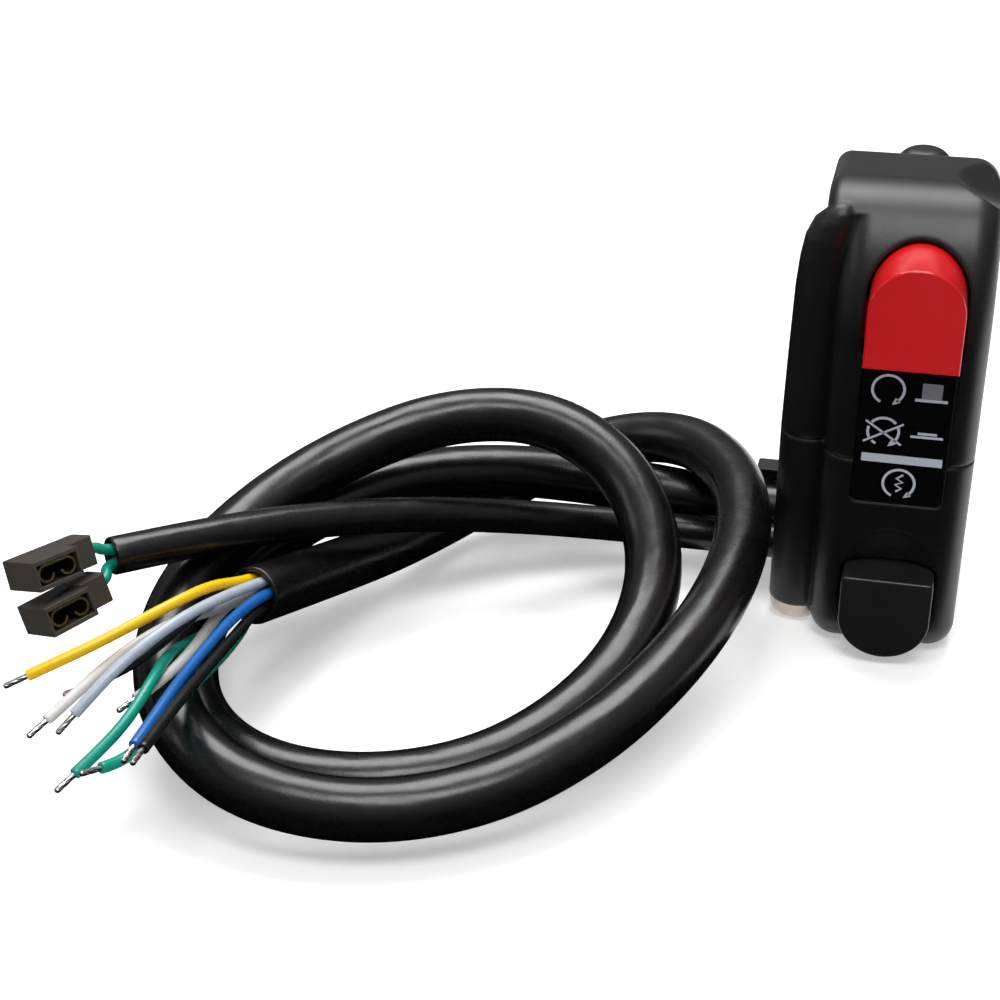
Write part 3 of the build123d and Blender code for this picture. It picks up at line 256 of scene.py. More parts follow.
housing_abs = grained_plastic(
    "moulded_abs_black", "#0b0b0c", "#121112", 0.34 * MM, 0.035 * MM, 0.40, softened=1.2 * MM)
start_abs = grained_plastic(
    "moulded_abs_start_button", "#1b1a1b", "#232122", 0.30 * MM, 0.012 * MM, 0.30)
guide_nylon = grained_plastic(
    "moulded_nylon_guide", "#10100f", "#1a1918", 0.45 * MM, 0.040 * MM, 0.38)
flag_nylon = grained_plastic(
    "moulded_nylon_receptacle", "#3d3833", "#4a443e", 0.40 * MM, 0.020 * MM, 0.38)
grommet_rubber = grained_plastic(
    "moulded_epdm_rubber", "#101010", "#191919", 0.50 * MM, 0.050 * MM, 0.66, ior=1.52)
contact_pbt = grained_plastic(
    "moulded_pbt_natural", "#c9c4b4", "#d8d4c6", 0.35 * MM, 0.020 * MM, 0.40, ior=1.57)
print("plastics:", housing_abs.name, start_abs.name, guide_nylon.name, flag_nylon.name)


# %% [markdown]
# ## Red ABS of the stop button
# The button comes from a polished mould, so it is smoother than the shells. The walls pick
# up a clear highlight along the top, and the face stays a deep, slightly uneven red.

# %% Stop button plastic
button_abs = grained_plastic(
    "moulded_abs_red", "#c80f15", "#d3161c", 0.28 * MM, 0.006 * MM, 0.17)
print(button_abs.name)


# %% [markdown]
# ## Polycarbonate of the legend plate
# A thin label of polished black polycarbonate. It mirrors the dark surroundings and stays
# nearly black. Faint hairline scuffs, drawn out along its height, keep it from looking like
# glass.

# %% Legend plate
legend_polycarbonate, tree = blank("polished_polycarbonate_black")
place = add(tree, "TexCoord").outputs["Object"]
stretch = add(tree, "Mapping", {
    "Vector": place, "Rotation": (0.0, 0.6, 0.0), "Scale": (1.0, 1.0, 0.06),
})
scuff = add(tree, "TexNoise", {
    "Vector": stretch.outputs[0], "Scale": 1 / (0.3 * MM), "Detail": 2.0,
})
haze = add(tree, "MapRange", {
    "Value": scuff.outputs["Fac"], "From Min": 0.5, "From Max": 0.8, "To Min": 0.06, "To Max": 0.10,
})
shader = add(tree, "BsdfPrincipled", {
    "Base Color": linear("#060708"), "Roughness": haze.outputs[0], "IOR": 1.585,
})
add(tree, "OutputMaterial", {"Surface": shader.outputs[0]})
print(legend_polycarbonate.name)


# %% [markdown]
# ## Printing ink
# The symbols are pad-printed in a pale blue-grey ink, and the raised button's body in a
# darker one. Pad printing lays a thin matt film that is a little uneven, which the noise in
# its tone and its gloss gives.

# %% Ink
def ink_film(name, thin, full):
    """A matt film whose tone and gloss follow one fine noise."""
    material, tree = blank(name)
    place = add(tree, "TexCoord").outputs["Object"]
    film = add(tree, "TexNoise", {"Vector": place, "Scale": 1 / (0.4 * MM), "Detail": 2.0})
    tone = add(tree, "Mix", {
        0: film.outputs["Fac"], 6: linear(thin), 7: linear(full),
    }, data_type="RGBA")
    gloss = add(tree, "MapRange", {"Value": film.outputs["Fac"], "To Min": 0.35, "To Max": 0.55})
    shader = add(tree, "BsdfPrincipled", {
        "Base Color": tone.outputs[2], "Roughness": gloss.outputs[0], "IOR": 1.48,
    })
    add(tree, "OutputMaterial", {"Surface": shader.outputs[0]})
    return material


printed_ink = ink_film("pad_printed_ink_pale_grey", "#a9b1bd", "#bcc4cf")
dark_ink = ink_film("pad_printed_ink_dark_grey", "#6b7079", "#7a808a")
print("inks:", printed_ink.name, dark_ink.name)


# %% [markdown]
# ## Metals
# The screws and washers are zinc plated steel, turned and tumbled. The clip is stainless
# strip, the contacts and receptacles are stamped brass, and the springs are bare wire. All
# of them get the same treatment: a base tone with slow stains, and fine marks in the gloss.

# %% Metals
def worked_metal(name, base, stain, mark_size, roughness, stretch_by=(1.0, 1.0, 1.0)):
    """Marks of the given size, stretched the way the metal was worked, over slow stains."""
    material, tree = blank(name)
    place = add(tree, "TexCoord").outputs["Object"]
    laid = add(tree, "Mapping", {"Vector": place, "Scale": stretch_by})
    marks = add(tree, "TexNoise", {
        "Vector": laid.outputs[0], "Scale": 1 / mark_size, "Detail": 3.0,
    })
    stains = add(tree, "TexNoise", {"Vector": place, "Scale": 1 / (2.2 * MM), "Detail": 2.0})
    tone = add(tree, "Mix", {
        0: stains.outputs["Fac"], 6: linear(base), 7: linear(stain),
    }, data_type="RGBA")
    gloss = add(tree, "MapRange", {
        "Value": marks.outputs["Fac"], "From Min": 0.25, "From Max": 0.75,
        "To Min": roughness - 0.07, "To Max": roughness + 0.09,
    })
    relief = add(tree, "Bump", {
        "Height": marks.outputs["Fac"], "Strength": 0.35, "Distance": 0.01 * MM,
    })
    shader = add(tree, "BsdfPrincipled", {
        "Base Color": tone.outputs[2], "Metallic": 1.0, "Roughness": gloss.outputs[0],
        "Normal": relief.outputs[0],
    })
    add(tree, "OutputMaterial", {"Surface": shader.outputs[0]})
    return material


screw_zinc = worked_metal(
    "turned_zinc_plated_steel", "#d8cdc6", "#b0a49c", 0.3 * MM, 0.24, (1.0, 1.0, 4.0))
clip_stainless = worked_metal(
    "rolled_stainless_strip", "#aeaca8", "#7d7a76", 0.3 * MM, 0.30, (0.2, 1.0, 1.0))
brass_stamped = worked_metal("stamped_brass", "#a08a5e", "#7c6a48", 0.3 * MM, 0.30)
tin_strands = worked_metal("tinned_copper_strands", "#e4e2df", "#b9b6b2", 0.2 * MM, 0.22)
spring_wire = worked_metal("drawn_spring_steel", "#9d9d9f", "#77777a", 0.2 * MM, 0.28)
print("metals:", screw_zinc.name, clip_stainless.name, brass_stamped.name, tin_strands.name)


# %% [markdown]
# ## PVC of the sleeves
# The loom runs in soft black PVC sleeving, extruded, with a satin skin. The wires inside
# press faint ridges into it that run along its length and turn slowly, and the highlight
# breaks up on them. The map's V is the length, so the ridges are noise that is stretched
# along V, 14 mm long and a few millimetres wide.

# %% Sleeve
sleeve_pvc, tree = blank("extruded_pvc_sleeving")
plan = add(tree, "UVMap", uv_map="along").outputs[0]
place = add(tree, "TexCoord").outputs["Object"]
drawn = add(tree, "Mapping", {"Vector": plan, "Scale": (5.0, 1 / (14 * MM), 1.0)})
ridges = add(tree, "TexNoise", {
    "Vector": drawn.outputs[0], "Scale": 1.0, "Detail": 2.0, "Roughness": 0.5,
})
grain = add(tree, "TexNoise", {"Vector": place, "Scale": 1 / (0.45 * MM), "Detail": 2.0})
dust = add(tree, "TexNoise", {
    "Vector": place, "Scale": 1 / (6 * MM), "Detail": 5.0, "Roughness": 0.7,
})
tone = add(tree, "Mix", {
    0: dust.outputs["Fac"], 6: linear("#060607"), 7: linear("#0f0e0e"),
}, data_type="RGBA")
gloss = add(tree, "MapRange", {
    "Value": dust.outputs["Fac"], "From Min": 0.3, "From Max": 0.7, "To Min": 0.22, "To Max": 0.33,
})
waves = add(tree, "Bump", {
    "Height": ridges.outputs["Fac"], "Strength": 0.5, "Distance": 0.6 * MM,
})
relief = add(tree, "Bump", {
    "Height": grain.outputs["Fac"], "Strength": 0.4, "Distance": 0.02 * MM,
    "Normal": waves.outputs[0],
})
shader = add(tree, "BsdfPrincipled", {
    "Base Color": tone.outputs[2], "Roughness": gloss.outputs[0], "IOR": 1.53,
    "Normal": relief.outputs[0],
})
add(tree, "OutputMaterial", {"Surface": shader.outputs[0]})
print(sleeve_pvc.name)


# %% [markdown]
# ## PVC of the wires
# Each wire has a glossy extruded coat in its own colour. It is nearly even, with a slight
# drift along the length and shallow kinks where it was stripped. Two coats are milky white
# with a thin red stripe, drawn as a band of the map's U.

# %% Wire coats
def wire_coat(name, main, drift, stripe=None):
    """Colour that drifts every 6 mm along the wire, and a stripe where U is near a half."""
    material, tree = blank(name)
    plan = add(tree, "UVMap", uv_map="along").outputs[0]
    parts = add(tree, "SeparateXYZ", {0: plan})
    slow = add(tree, "TexNoise", {
        1: parts.outputs[1], "Scale": 1 / (6 * MM), "Detail": 2.0,
    }, noise_dimensions="1D")
    colour = add(tree, "Mix", {0: slow.outputs["Fac"], 6: linear(main), 7: linear(drift)},
                 data_type="RGBA").outputs[2]
    if stripe:
        offset = add(tree, "Math", {0: parts.outputs[0], 1: 0.42}, operation="SUBTRACT")
        aside = add(tree, "Math", {0: offset.outputs[0]}, operation="ABSOLUTE")
        band = add(tree, "MapRange", {
            "Value": aside.outputs[0], "From Min": 0.05, "From Max": 0.065,
            "To Min": 1.0, "To Max": 0.0,
        })
        colour = add(tree, "Mix", {0: band.outputs[0], 6: colour, 7: linear(stripe)},
                     data_type="RGBA").outputs[2]
    gloss = add(tree, "MapRange", {"Value": slow.outputs["Fac"], "To Min": 0.2, "To Max": 0.36})
    kinks = add(tree, "Bump", {
        "Height": slow.outputs["Fac"], "Strength": 0.05, "Distance": 0.2 * MM,
    })
    shader = add(tree, "BsdfPrincipled", {
        "Base Color": colour, "Roughness": gloss.outputs[0], "IOR": 1.53,
        "Normal": kinks.outputs[0],
    })
    add(tree, "OutputMaterial", {"Surface": shader.outputs[0]})
    return material


yellow_pvc = wire_coat("pvc_insulation_yellow", "#f9c400", "#fbcd0c")
grey_pvc = wire_coat("pvc_insulation_grey", "#aab4c2", "#bac3cf")
black_pvc = wire_coat("pvc_insulation_black", "#0b0b0b", "#121212")
striped_pvc = wire_coat("pvc_insulation_white_red", "#dad7d4", "#e5e3e1", "#c22e2e")
green_pvc = wire_coat("pvc_insulation_green", "#04907a", "#0a9c84")
blue_pvc = wire_coat("pvc_insulation_blue", "#0f5aa6", "#1868b6")
coats = (yellow_pvc, grey_pvc, black_pvc, striped_pvc, green_pvc, blue_pvc)
print("wire coats:", [material.name for material in coats])


# %% [markdown]
# ## The thick cable
# One sleeve carries the whole loom. It leaves the grommet, goes round the table twice and
# ends in a clean cut, where the wires come out. The tube is therefore a closed wall: the
# outer skin, a rounded lip, and the bore seen from the end.

# %% Routes of the two sleeves, in metres
main_route = MM * np.array([
    (-6.4, 3.5, -27.3), (-24.0, 3.5, -27.3), (-49.1, -0.2, -22.5), (-69.8, -6.8, -18.5),
    (-86.7, -16.7, -18.0), (-99.8, -29.7, -20.6), (-107.2, -44.9, -24.4),
    (-107.6, -60.5, -27.7), (-101.1, -74.4, -30.0), (-88.0, -83.3, -31.0),
    (-70.8, -83.9, -31.0), (-54.8, -76.4, -30.6), (-43.3, -63.6, -28.5),
    (-35.9, -48.3, -24.4), (-34.9, -32.6, -17.4), (-42.4, -19.8, -9.0),
    (-56.9, -13.5, -3.4), (-74.2, -15.6, -3.7), (-89.7, -24.4, -7.8),
    (-101.3, -37.6, -12.3), (-107.4, -53.6, -16.0), (-107.0, -70.3, -19.1),
    (-100.3, -84.7, -22.5), (-87.0, -93.4, -26.1), (-69.2, -93.6, -28.0),
    (-52.1, -86.5, -27.5), (-38.6, -73.6, -24.9), (-29.1, -57.2, -21.6),
    (-23.2, -39.0, -18.6), (-21.9, -20.6, -16.2), (-26.5, -4.2, -15.0),
    (-36.8, 7.1, -15.8), (-51.2, 10.2, -19.7), (-65.5, 4.5, -25.5),
    (-76.1, -7.2, -28.8), (-83.7, -23.0, -27.2), (-90.4, -41.5, -22.1),
    (-95.2, -60.6, -15.3),
])
lead_route = MM * np.array([
    (-6.4, -5.2, -28.6), (-24.0, -5.2, -28.6), (-46.1, -10.3, -25.5), (-63.7, -18.4, -21.2),
    (-77.8, -28.9, -16.5), (-90.4, -41.1, -12.0), (-102.7, -54.3, -8.5),
    (-114.9, -67.5, -6.3),
])


# %% A sleeve with a hollow cut end
MAIN_DIAMETER, LEAD_DIAMETER = 9.3 * MM, 6.0 * MM
LIP_LENGTH = 0.4 * MM


def sleeve(name, route, radius, bore, depth):
    """Outer skin at r, a lip that turns over in a small arc, and the bore going back inside."""
    line = spline_line(route)
    length = distances(line)[-1]
    run = np.linspace(0, length - LIP_LENGTH, max(60, int(length / (1.6 * MM))))
    turn_over = np.linspace(0, math.pi, 7)
    lip = (radius - bore) / 2
    lip_stations = length - LIP_LENGTH + LIP_LENGTH * np.sin(turn_over)
    lip_radii = radius - lip + lip * np.cos(turn_over)
    stations = np.concatenate([run, lip_stations[1:], [length - depth]])
    radii = np.concatenate([np.full(len(run), radius), lip_radii[1:], [bore]])
    piece = skin(name, carried(line, stations, radii, 48), stations, sleeve_pvc)
    print(f"{name}: {1000 * length:.1f} mm long, {len(piece.data.polygons)} faces")
    return piece, line


main_sleeve, main_line = sleeve(
    "main_sleeve", main_route, radius=MAIN_DIAMETER / 2, bore=3.8 * MM, depth=5.0 * MM)
lead_sleeve, lead_line = sleeve(
    "lead_sleeve", lead_route, radius=LEAD_DIAMETER / 2, bore=2.2 * MM, depth=4.0 * MM)
for piece, node in ((main_sleeve, "main_cable"), (lead_sleeve, "lead_cable")):
    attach(piece, "housing")
    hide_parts(node)


# %% [markdown]
# ## The nine wires
# The wires fan out from the cut end. Eight sit on a ring inside the sleeve and one in the
# middle, and each then follows its own few bends. The coat stops short of the tip, and the
# tinned strands stand out of it.

# %% The cut ends of the sleeves, and the way each one points
def cut_frame(route):
    """Along, right and up at the end of a route."""
    along = (route[-1] - route[-2]) / np.linalg.norm(route[-1] - route[-2])
    upright = np.array([0.0, 0.0, 1.0]) - along * along[2]
    upright /= np.linalg.norm(upright)
    return along, np.cross(upright, along), upright


cut_along, cut_right, cut_up = cut_frame(main_route)
lead_along, _, lead_up = cut_frame(lead_route)
print("cut ends point along", cut_along.round(2), lead_along.round(2))

# %% Each wire's seat (distance from the middle, angle), its coat and its bends, in millimetres
RING = 2.6
WIRES = {
    "yellow": (RING, 112.0, yellow_pvc, "pvc_yellow", [
        (-98.4, -68.6, -8.7), (-101.8, -75.8, -8.0), (-106.1, -81.7, -8.7),
        (-110.9, -86.6, -10.0), (-114.9, -89.9, -11.1), (-117.9, -92.0, -12.1)]),
    "grey": (RING, 67.0, grey_pvc, "pvc_grey", [
        (-96.6, -69.4, -10.2), (-99.4, -76.8, -9.1), (-102.2, -82.9, -9.5),
        (-105.2, -88.2, -11.1), (-107.5, -92.2, -13.1), (-109.5, -95.4, -15.2)]),
    "black_a": (RING, 157.0, black_pvc, "pvc_black", [
        (-98.6, -68.7, -11.0), (-100.0, -76.0, -11.1), (-103.2, -81.5, -12.7),
        (-107.0, -85.0, -14.7), (-111.3, -87.5, -16.0)]),
    "striped_a": (0.0, 0.0, striped_pvc, "pvc_white_red", [
        (-97.8, -68.0, -13.3), (-101.9, -73.3, -12.4), (-105.2, -79.4, -12.2),
        (-108.3, -85.7, -13.0), (-111.1, -91.2, -14.8), (-113.7, -95.9, -16.5)]),
    "striped_b": (RING, 202.0, striped_pvc, "pvc_white_red", [
        (-98.6, -68.3, -15.1), (-98.7, -75.9, -15.1), (-100.4, -82.5, -16.0),
        (-103.1, -88.6, -16.3)]),
    "green_a": (RING, 247.0, green_pvc, "pvc_green", [
        (-98.1, -66.9, -17.6), (-100.6, -72.6, -16.4), (-101.5, -80.4, -14.1),
        (-100.9, -88.3, -14.0), (-101.6, -95.0, -15.4), (-103.4, -100.3, -16.7),
        (-105.5, -104.9, -17.9)]),
    "blue": (RING, 22.0, blue_pvc, "pvc_blue", [
        (-94.7, -71.5, -12.8), (-95.5, -80.6, -12.5), (-95.9, -88.8, -12.1),
        (-96.0, -96.5, -12.0), (-96.3, -104.1, -12.1)]),
    "black_b": (RING, 337.0, black_pvc, "pvc_black", [
        (-93.6, -72.6, -14.6), (-93.7, -82.0, -13.2), (-93.9, -90.7, -12.1),
        (-94.1, -98.7, -11.5), (-94.1, -106.0, -10.9)]),
    "green_b": (RING, 292.0, green_pvc, "pvc_green", [
        (-94.4, -68.7, -17.0), (-94.6, -76.2, -16.3), (-95.8, -84.4, -15.7),
        (-96.9, -91.9, -15.9), (-98.2, -98.3, -16.7), (-99.7, -102.6, -16.7),
        (-101.1, -105.4, -15.7)]),
}


# %% Coats and tinned tips
COAT_RADIUS = 0.85 * MM


def coat(name, line, material, radius=COAT_RADIUS):
    """A solid round coat whose end turns in with a small rounded edge."""
    length = distances(line)[-1]
    run = np.linspace(0, length - 0.2 * MM, max(40, int(length / (0.6 * MM))))
    stations = np.concatenate([run, [length - 0.07 * MM, length, length]])
    radii = radius * np.concatenate([np.ones(len(run)), [0.93, 0.78, 0.4]])
    return skin(name, carried(line, stations, radii, 24), stations, material)


def twisted_tip(name, start, way, length=3.6 * MM, radius=0.45 * MM, lay=9.0 * MM):
    """r(s, a) = R (1 - 0.14 (1 - |cos 3(a - 2 pi s / lay)|)): six tinned strands, twisted."""
    line = start + way * np.linspace(-0.3 * MM, length, 30)[:, None]
    stations = np.linspace(0, length + 0.3 * MM, 30)
    angle = 2 * math.pi * np.arange(36) / 36
    twist = angle[None] - 2 * math.pi * stations[:, None] / lay
    lobes = 1 - 0.14 * (1 - np.abs(np.cos(3 * twist)))
    blunt = np.sqrt(np.clip(1 - np.clip((stations - length) / (0.3 * MM), 0, 1) ** 2, 0.12, 1))
    rings = carried(line, stations, radius * lobes * blunt[:, None], 36)
    return skin(name, rings, stations, tin_strands)


for name, (ring, angle, material, slot, bends) in WIRES.items():
    turned = math.radians(angle)
    spoke = math.cos(turned) * cut_right + math.sin(turned) * cut_up
    seat = main_route[-1] + MM * ring * spoke
    route = np.vstack([
        seat - 5.0 * MM * cut_along, seat + 1.6 * MM * cut_along, MM * np.array(bends),
    ])
    line = spline_line(route, 10)
    wire = coat("wire_coat_" + name, line, material)
    way = (route[-1] - route[-2]) / np.linalg.norm(route[-1] - route[-2])
    tip = twisted_tip("wire_tip_" + name, route[-1], way)
    for piece, node, paint in ((wire, "wire_" + name, slot), (tip, "wire_tips", "tin")):
        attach(piece, "housing")
        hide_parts(node)
    print(f"wire {name}: {1000 * distances(line)[-1]:.1f} mm")


# %% [markdown]
# ## The lead wires and the two cords
# Two short green wires come out of the thin sleeve and go into the sides of the flag
# receptacles. The receptacles and their brass terminals are rigid and stay as packed.

# %% Where a lead wire goes into its receptacle, measured from the receptacle's corner
ENTRY_ACROSS, ENTRY_DOWN, ENTRY_INWARD = 12.5, 2.25, 5.6


def flag_entry(corner, across, inward):
    """The middle of the wire's hole in the shoulder's outer face, and the way out of it."""
    depth_way = np.array(inward) / np.linalg.norm(inward)
    width_way = np.array(across) - depth_way * np.dot(across, depth_way)
    width_way /= np.linalg.norm(width_way)
    height_way = np.cross(-depth_way, width_way)
    entry = np.array(corner) + ENTRY_ACROSS * width_way - ENTRY_DOWN * height_way
    return MM * (entry + ENTRY_INWARD * depth_way), width_way


# %% Lead wires: distance from the sleeve's middle, then the receptacle's corner and directions
FLAGS = {
    "upper": (1.05, (-118.9, -83.6, 1.7), (0.470, 0.879, -0.081), (-0.846, 0.422, -0.327)),
    "lower": (-1.05, (-116.8, -86.2, -4.3), (0.498, 0.867, 0.030), (-0.806, 0.475, -0.354)),
}
for name, (aside, corner, across, inward) in FLAGS.items():
    entry, outward = flag_entry(corner, across, inward)
    seat = lead_route[-1] + MM * aside * lead_up
    route = np.vstack([
        seat - 4.0 * MM * lead_along, seat + 1.0 * MM * lead_along,
        entry + 1.5 * MM * outward, entry - 3.0 * MM * outward,
    ])
    wire = coat("lead_coat_" + name, spline_line(route, 16), green_pvc)
    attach(wire, "housing")
    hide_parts("lead_wire_" + name)


# %% [markdown]
# ## The printed legend
# The plate tells the rider what the two buttons do: a turning arrow and a raised button for
# run, the same arrow crossed out and a pressed button for stop, a bar, and a turning arrow
# round a spark for start. A stroke is a flat ribbon with square sides, laid on the plate's
# front face. Its path and its width at each point give its shape, so an arrowhead is a
# ribbon that narrows to nothing.

# %% Strokes on the plate
INK_Y, INK_THICKNESS = -25.1 * MM, 0.03 * MM
symbols = []


def stroke(name, path, widths, ink=printed_ink):
    """Rings of four corners, half the width to each side of the path, in the plate's plane."""
    path = MM * np.asarray(path, float)
    widths = MM * np.broadcast_to(np.asarray(widths, float), len(path))
    along = np.gradient(path, axis=0)
    along /= np.linalg.norm(along, axis=1, keepdims=True)
    aside = np.column_stack([-along[:, 1], along[:, 0]]) * widths[:, None] / 2
    front_y = INK_Y - INK_THICKNESS
    corners = []
    for side, y in ((1, front_y), (-1, front_y), (-1, INK_Y), (1, INK_Y)):
        edge = path + side * aside
        corners.append(np.column_stack([edge[:, 0], np.full(len(path), y), edge[:, 1]]))
    piece = skin(name, np.stack(corners, axis=1), distances(path), ink, smooth=False)
    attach(piece, "housing")
    symbols.append(piece)
    return piece


def arc(centre, radius, start, end):
    """Points on a circle, from one angle to the other, one about every four degrees."""
    angle = np.radians(np.linspace(start, end, max(3, int(abs(end - start) / 4))))
    return np.array(centre) + radius * np.column_stack([np.cos(angle), np.sin(angle)])


# %% Run: the open ring with its arrow, and the raised button
LINE = 0.42
stroke("run_ring", arc((-1.22, 12.85), 2.44, 244, -56), LINE)
stroke("run_arrow", [(0.42, 11.16), (-0.02, 10.68), (-0.42, 10.28)], [1.1, 0.6, 0.02])
stroke("raised_button", [(5.46, 11.75), (5.46, 14.38)], 3.1, dark_ink)
stroke("raised_line", [(2.96, 11.45), (7.94, 11.45)], 0.5)
# %% Stop: the broken ring, the cross, and the pressed button
stroke("stop_ring_top", arc((-1.38, 5.45), 2.40, 141, 40), LINE)
stroke("stop_ring_left", arc((-1.38, 5.45), 2.40, 161, 208), LINE)
stroke("stop_ring_right", arc((-1.38, 5.45), 2.40, 20, -42), LINE)
stroke("stop_ring_low", arc((-1.38, 5.45), 2.40, 226, 245), LINE)
stroke("stop_arrow", [(0.42, 3.86), (-0.08, 3.32), (-0.50, 2.92)], [1.1, 0.6, 0.02])
stroke("stop_cross_a", [(-4.20, 7.22), (1.55, 3.30)], 0.34)
stroke("stop_cross_b", [(1.64, 6.98), (-4.38, 3.50)], 0.34)
stroke("pressed_button", [(3.92, 5.63), (6.88, 5.63)], 0.42)
stroke("pressed_line", [(2.86, 5.03), (7.86, 5.03)], 0.42)
# %% The bar, and start: the ring with a spark in it
stroke("bar", [(-4.38, 0.74), (8.20, 0.64)], 1.46)
stroke("start_ring", arc((1.84, -3.58), 2.46, 246, -52), LINE)
stroke("start_arrow", [(3.62, -5.32), (3.18, -5.74), (2.74, -6.10)], [1.05, 0.6, 0.02])
stroke("spark", [
    (2.42, -1.98), (1.42, -2.72), (2.46, -3.33), (1.30, -3.85), (2.31, -4.48), (1.49, -5.07),
], 0.36)
print("printed strokes:", len(symbols))


# %% [markdown]
# ## Finishes of the rigid parts
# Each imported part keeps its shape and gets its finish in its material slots.

# %% Finishes
FINISHES = {
    housing_abs: ["upper_shell", "lower_shell"],
    legend_polycarbonate: ["legend_plate"],
    button_abs: ["kill_button"],
    start_abs: ["start_button"],
    contact_pbt: ["kill_switch_body", "start_switch_body"],
    brass_stamped: ["kill_contact_bridge", "kill_fixed_contacts", "start_contact_bridge",
                    "start_fixed_contacts", "threaded_inserts", "flag_terminal_upper",
                    "flag_terminal_lower"],
    spring_wire: ["kill_return_spring", "kill_latch_pin", "start_return_spring"],
    screw_zinc: ["clamp_screw_front", "clamp_screw_rear", "clamp_washers"],
    grommet_rubber: ["cable_grommet"],
    guide_nylon: ["cable_guide"],
    clip_stainless: ["guide_clip"],
    flag_nylon: ["flag_housing_upper", "flag_housing_lower"],
}
for material, names in FINISHES.items():
    for name in names:
        for slot in NODES[name].material_slots:
            slot.material = material
print("parts with a finish:", sum(len(names) for names in FINISHES.values()))

# %% The return springs, listed with their buttons' joints and travel, each get a mesh of their own
SPRINGS = {
    "kill_return_spring": ("kill_press", 4.0 * MM),
    "start_return_spring": ("start_press", 3.0 * MM),
}
for name, (joint, travel) in SPRINGS.items():
    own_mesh(NODES[name])


# %% [markdown]
# ## Table and light
# The object lies on a pale table. One large softbox hangs above and a little behind, a
# smaller one above and in front, a third at the left, and a weak sky fills the rest. Upright
# black plastic would mirror the pale table, so a black card lies in front and to the left,
# seen by reflections only. The table glows a little for the camera and for mirrors, which
# keeps it white and leaves its shadow soft. Together they give a level at which a colour
# renders about as it is written.

# %% Table
TABLE_HEIGHT, TABLE_HALF, TABLE_GLOW = -35.8 * MM, 3.0, 0.42
table_mesh = bpy.data.meshes.new("table")
table_mesh.from_pydata([
    (-TABLE_HALF, -TABLE_HALF, TABLE_HEIGHT), (TABLE_HALF, -TABLE_HALF, TABLE_HEIGHT),
    (TABLE_HALF, TABLE_HALF, TABLE_HEIGHT), (-TABLE_HALF, TABLE_HALF, TABLE_HEIGHT),
], [], [(0, 1, 2, 3)])
table = bpy.data.objects.new("table", table_mesh)
bpy.context.collection.objects.link(table)
table_paint, tree = blank("painted_table")
place = add(tree, "TexCoord").outputs["Object"]
cloud = add(tree, "TexNoise", {"Vector": place, "Scale": 1 / 0.3, "Detail": 2.0})
tone = add(tree, "Mix", {
    0: cloud.outputs["Fac"], 6: linear("#f4f4f3"), 7: linear("#f7f7f7"),
}, data_type="RGBA")
paint = add(tree, "BsdfPrincipled", {"Base Color": tone.outputs[2], "Roughness": 0.7})
rays = add(tree, "LightPath").outputs
seen = add(tree, "Math", {0: rays["Is Camera Ray"], 1: rays["Is Glossy Ray"]}, operation="ADD")
seen = add(tree, "Math", {0: seen.outputs[0], 1: rays["Is Transmission Ray"]}, operation="ADD")
level = add(tree, "Math", {0: seen.outputs[0], 1: TABLE_GLOW}, operation="MULTIPLY")
glow = add(tree, "Emission", {"Color": tone.outputs[2], "Strength": level.outputs[0]})
shader = add(tree, "AddShader", {0: paint.outputs[0], 1: glow.outputs[0]})
add(tree, "OutputMaterial", {"Surface": shader.outputs[0]})
table_mesh.materials.append(table_paint)

# %% A black card on the table, seen by reflections only and only from above
CARD_SIDE, CARD_FRONT, CARD_BACK, CARD_CORNER, CARD_GAP = 0.7, -0.9, 0.6, -0.03, 0.2 * MM
card_mesh = bpy.data.meshes.new("black_card")
card_outline = [
    (-CARD_SIDE, CARD_FRONT), (CARD_SIDE, CARD_FRONT), (CARD_SIDE, CARD_CORNER),
    (-CARD_SIDE, CARD_CORNER), (CARD_CORNER, CARD_CORNER), (CARD_CORNER, CARD_BACK),
    (-CARD_SIDE, CARD_BACK),
]
card_mesh.from_pydata(
    [(x, y, TABLE_HEIGHT + CARD_GAP) for x, y in card_outline], [], [(0, 1, 2, 3), (3, 4, 5, 6)])
card = bpy.data.objects.new("black_card", card_mesh)
bpy.context.collection.objects.link(card)
card.visible_camera = card.visible_diffuse = False
card.visible_transmission = card.visible_shadow = False
card_paper, tree = blank("black_flocked_card")
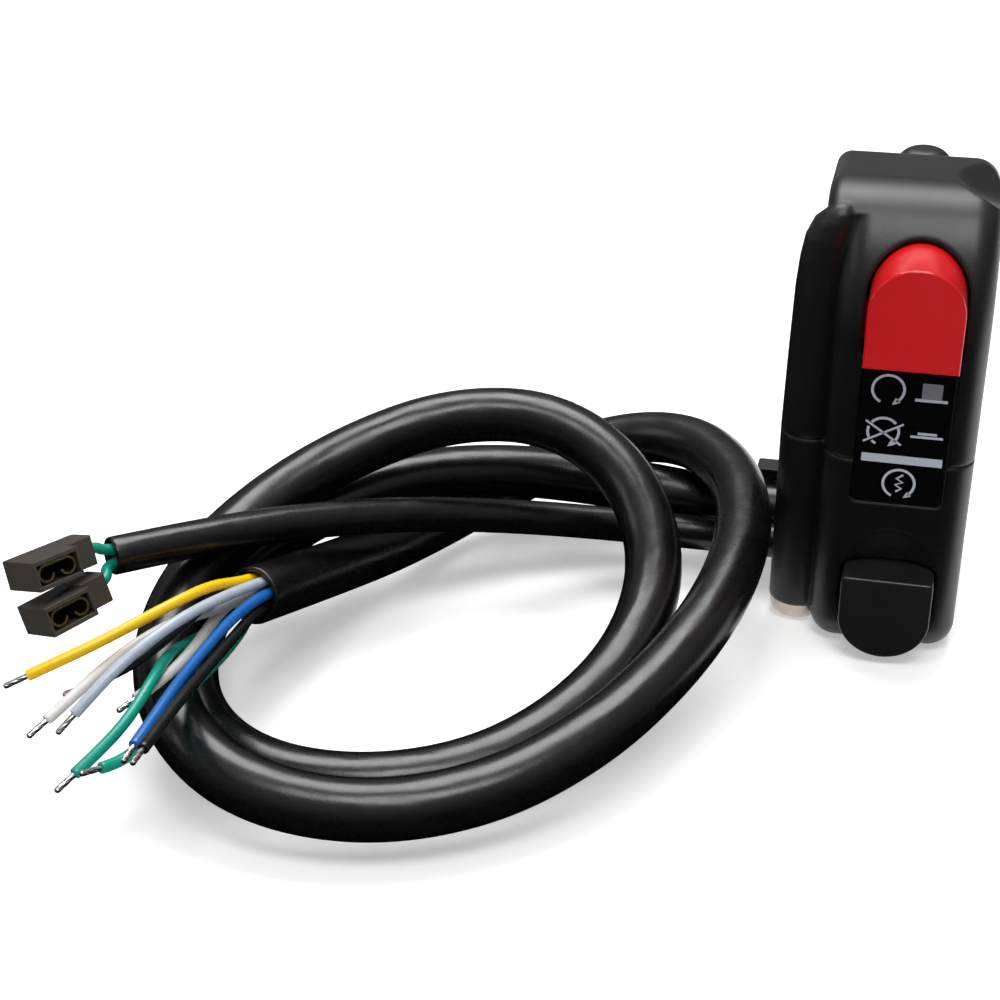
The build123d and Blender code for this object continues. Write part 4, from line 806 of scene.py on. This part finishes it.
paper = add(tree, "BsdfDiffuse", {"Color": linear("#101010")})
clear = add(tree, "BsdfTransparent")
underside = add(tree, "NewGeometry").outputs["Backfacing"]
sheet = add(tree, "MixShader", {0: underside, 1: paper.outputs[0], 2: clear.outputs[0]})
add(tree, "OutputMaterial", {"Surface": sheet.outputs[0]})
card_mesh.materials.append(card_paper)

# %% Sky and softbox
world = bpy.data.worlds.new("studio")
world.use_nodes = True
world.node_tree.nodes.clear()
tree = world.node_tree
height = add(tree, "SeparateXYZ", {0: add(tree, "TexCoord").outputs["Generated"]}).outputs[2]
rise = add(tree, "MapRange", {
    "Value": height, "From Min": 0.0, "From Max": 1.0, "To Min": 0.02, "To Max": 0.50,
})
sky = add(tree, "Background", {"Color": (1.0, 1.0, 1.0, 1.0), "Strength": rise.outputs[0]})
add(tree, "OutputWorld", {"Surface": sky.outputs[0]})
bpy.context.scene.world = world

# %% Softboxes: place and size in metres, and radiance
LAMP_AIM = (-0.05, -0.03, 0.0)
SOFTBOXES = {
    "softbox_above": ((-0.15, 0.35, 0.85), (0.7, 0.5), 7.6),
    "softbox_front": ((0.05, -0.38, 0.90), (0.5, 0.3), 8.0),
    "softbox_left": ((-0.9, -0.25, 0.45), (0.3, 0.5), 1.2),
}
for name, (place, size, radiance) in SOFTBOXES.items():
    lamp = bpy.data.lights.new(name, "AREA")
    lamp.shape, lamp.size, lamp.size_y = "RECTANGLE", *size
    # An area lamp's power is its radiance times pi times its area.
    lamp.energy = radiance * math.pi * size[0] * size[1]
    holder = bpy.data.objects.new(name, lamp)
    bpy.context.collection.objects.link(holder)
    back = np.array(place) - np.array(LAMP_AIM)
    back /= np.linalg.norm(back)
    sideways = np.cross([0.0, 1.0, 0.0], back)
    sideways /= np.linalg.norm(sideways)
    turn = np.column_stack([sideways, np.cross(back, sideways), back])
    holder.matrix_world = Matrix.Translation(place) @ Matrix(turn.tolist()).to_4x4()
print("softboxes:", list(SOFTBOXES))

# %% Colour management
bpy.context.scene.view_settings.view_transform = "Standard"
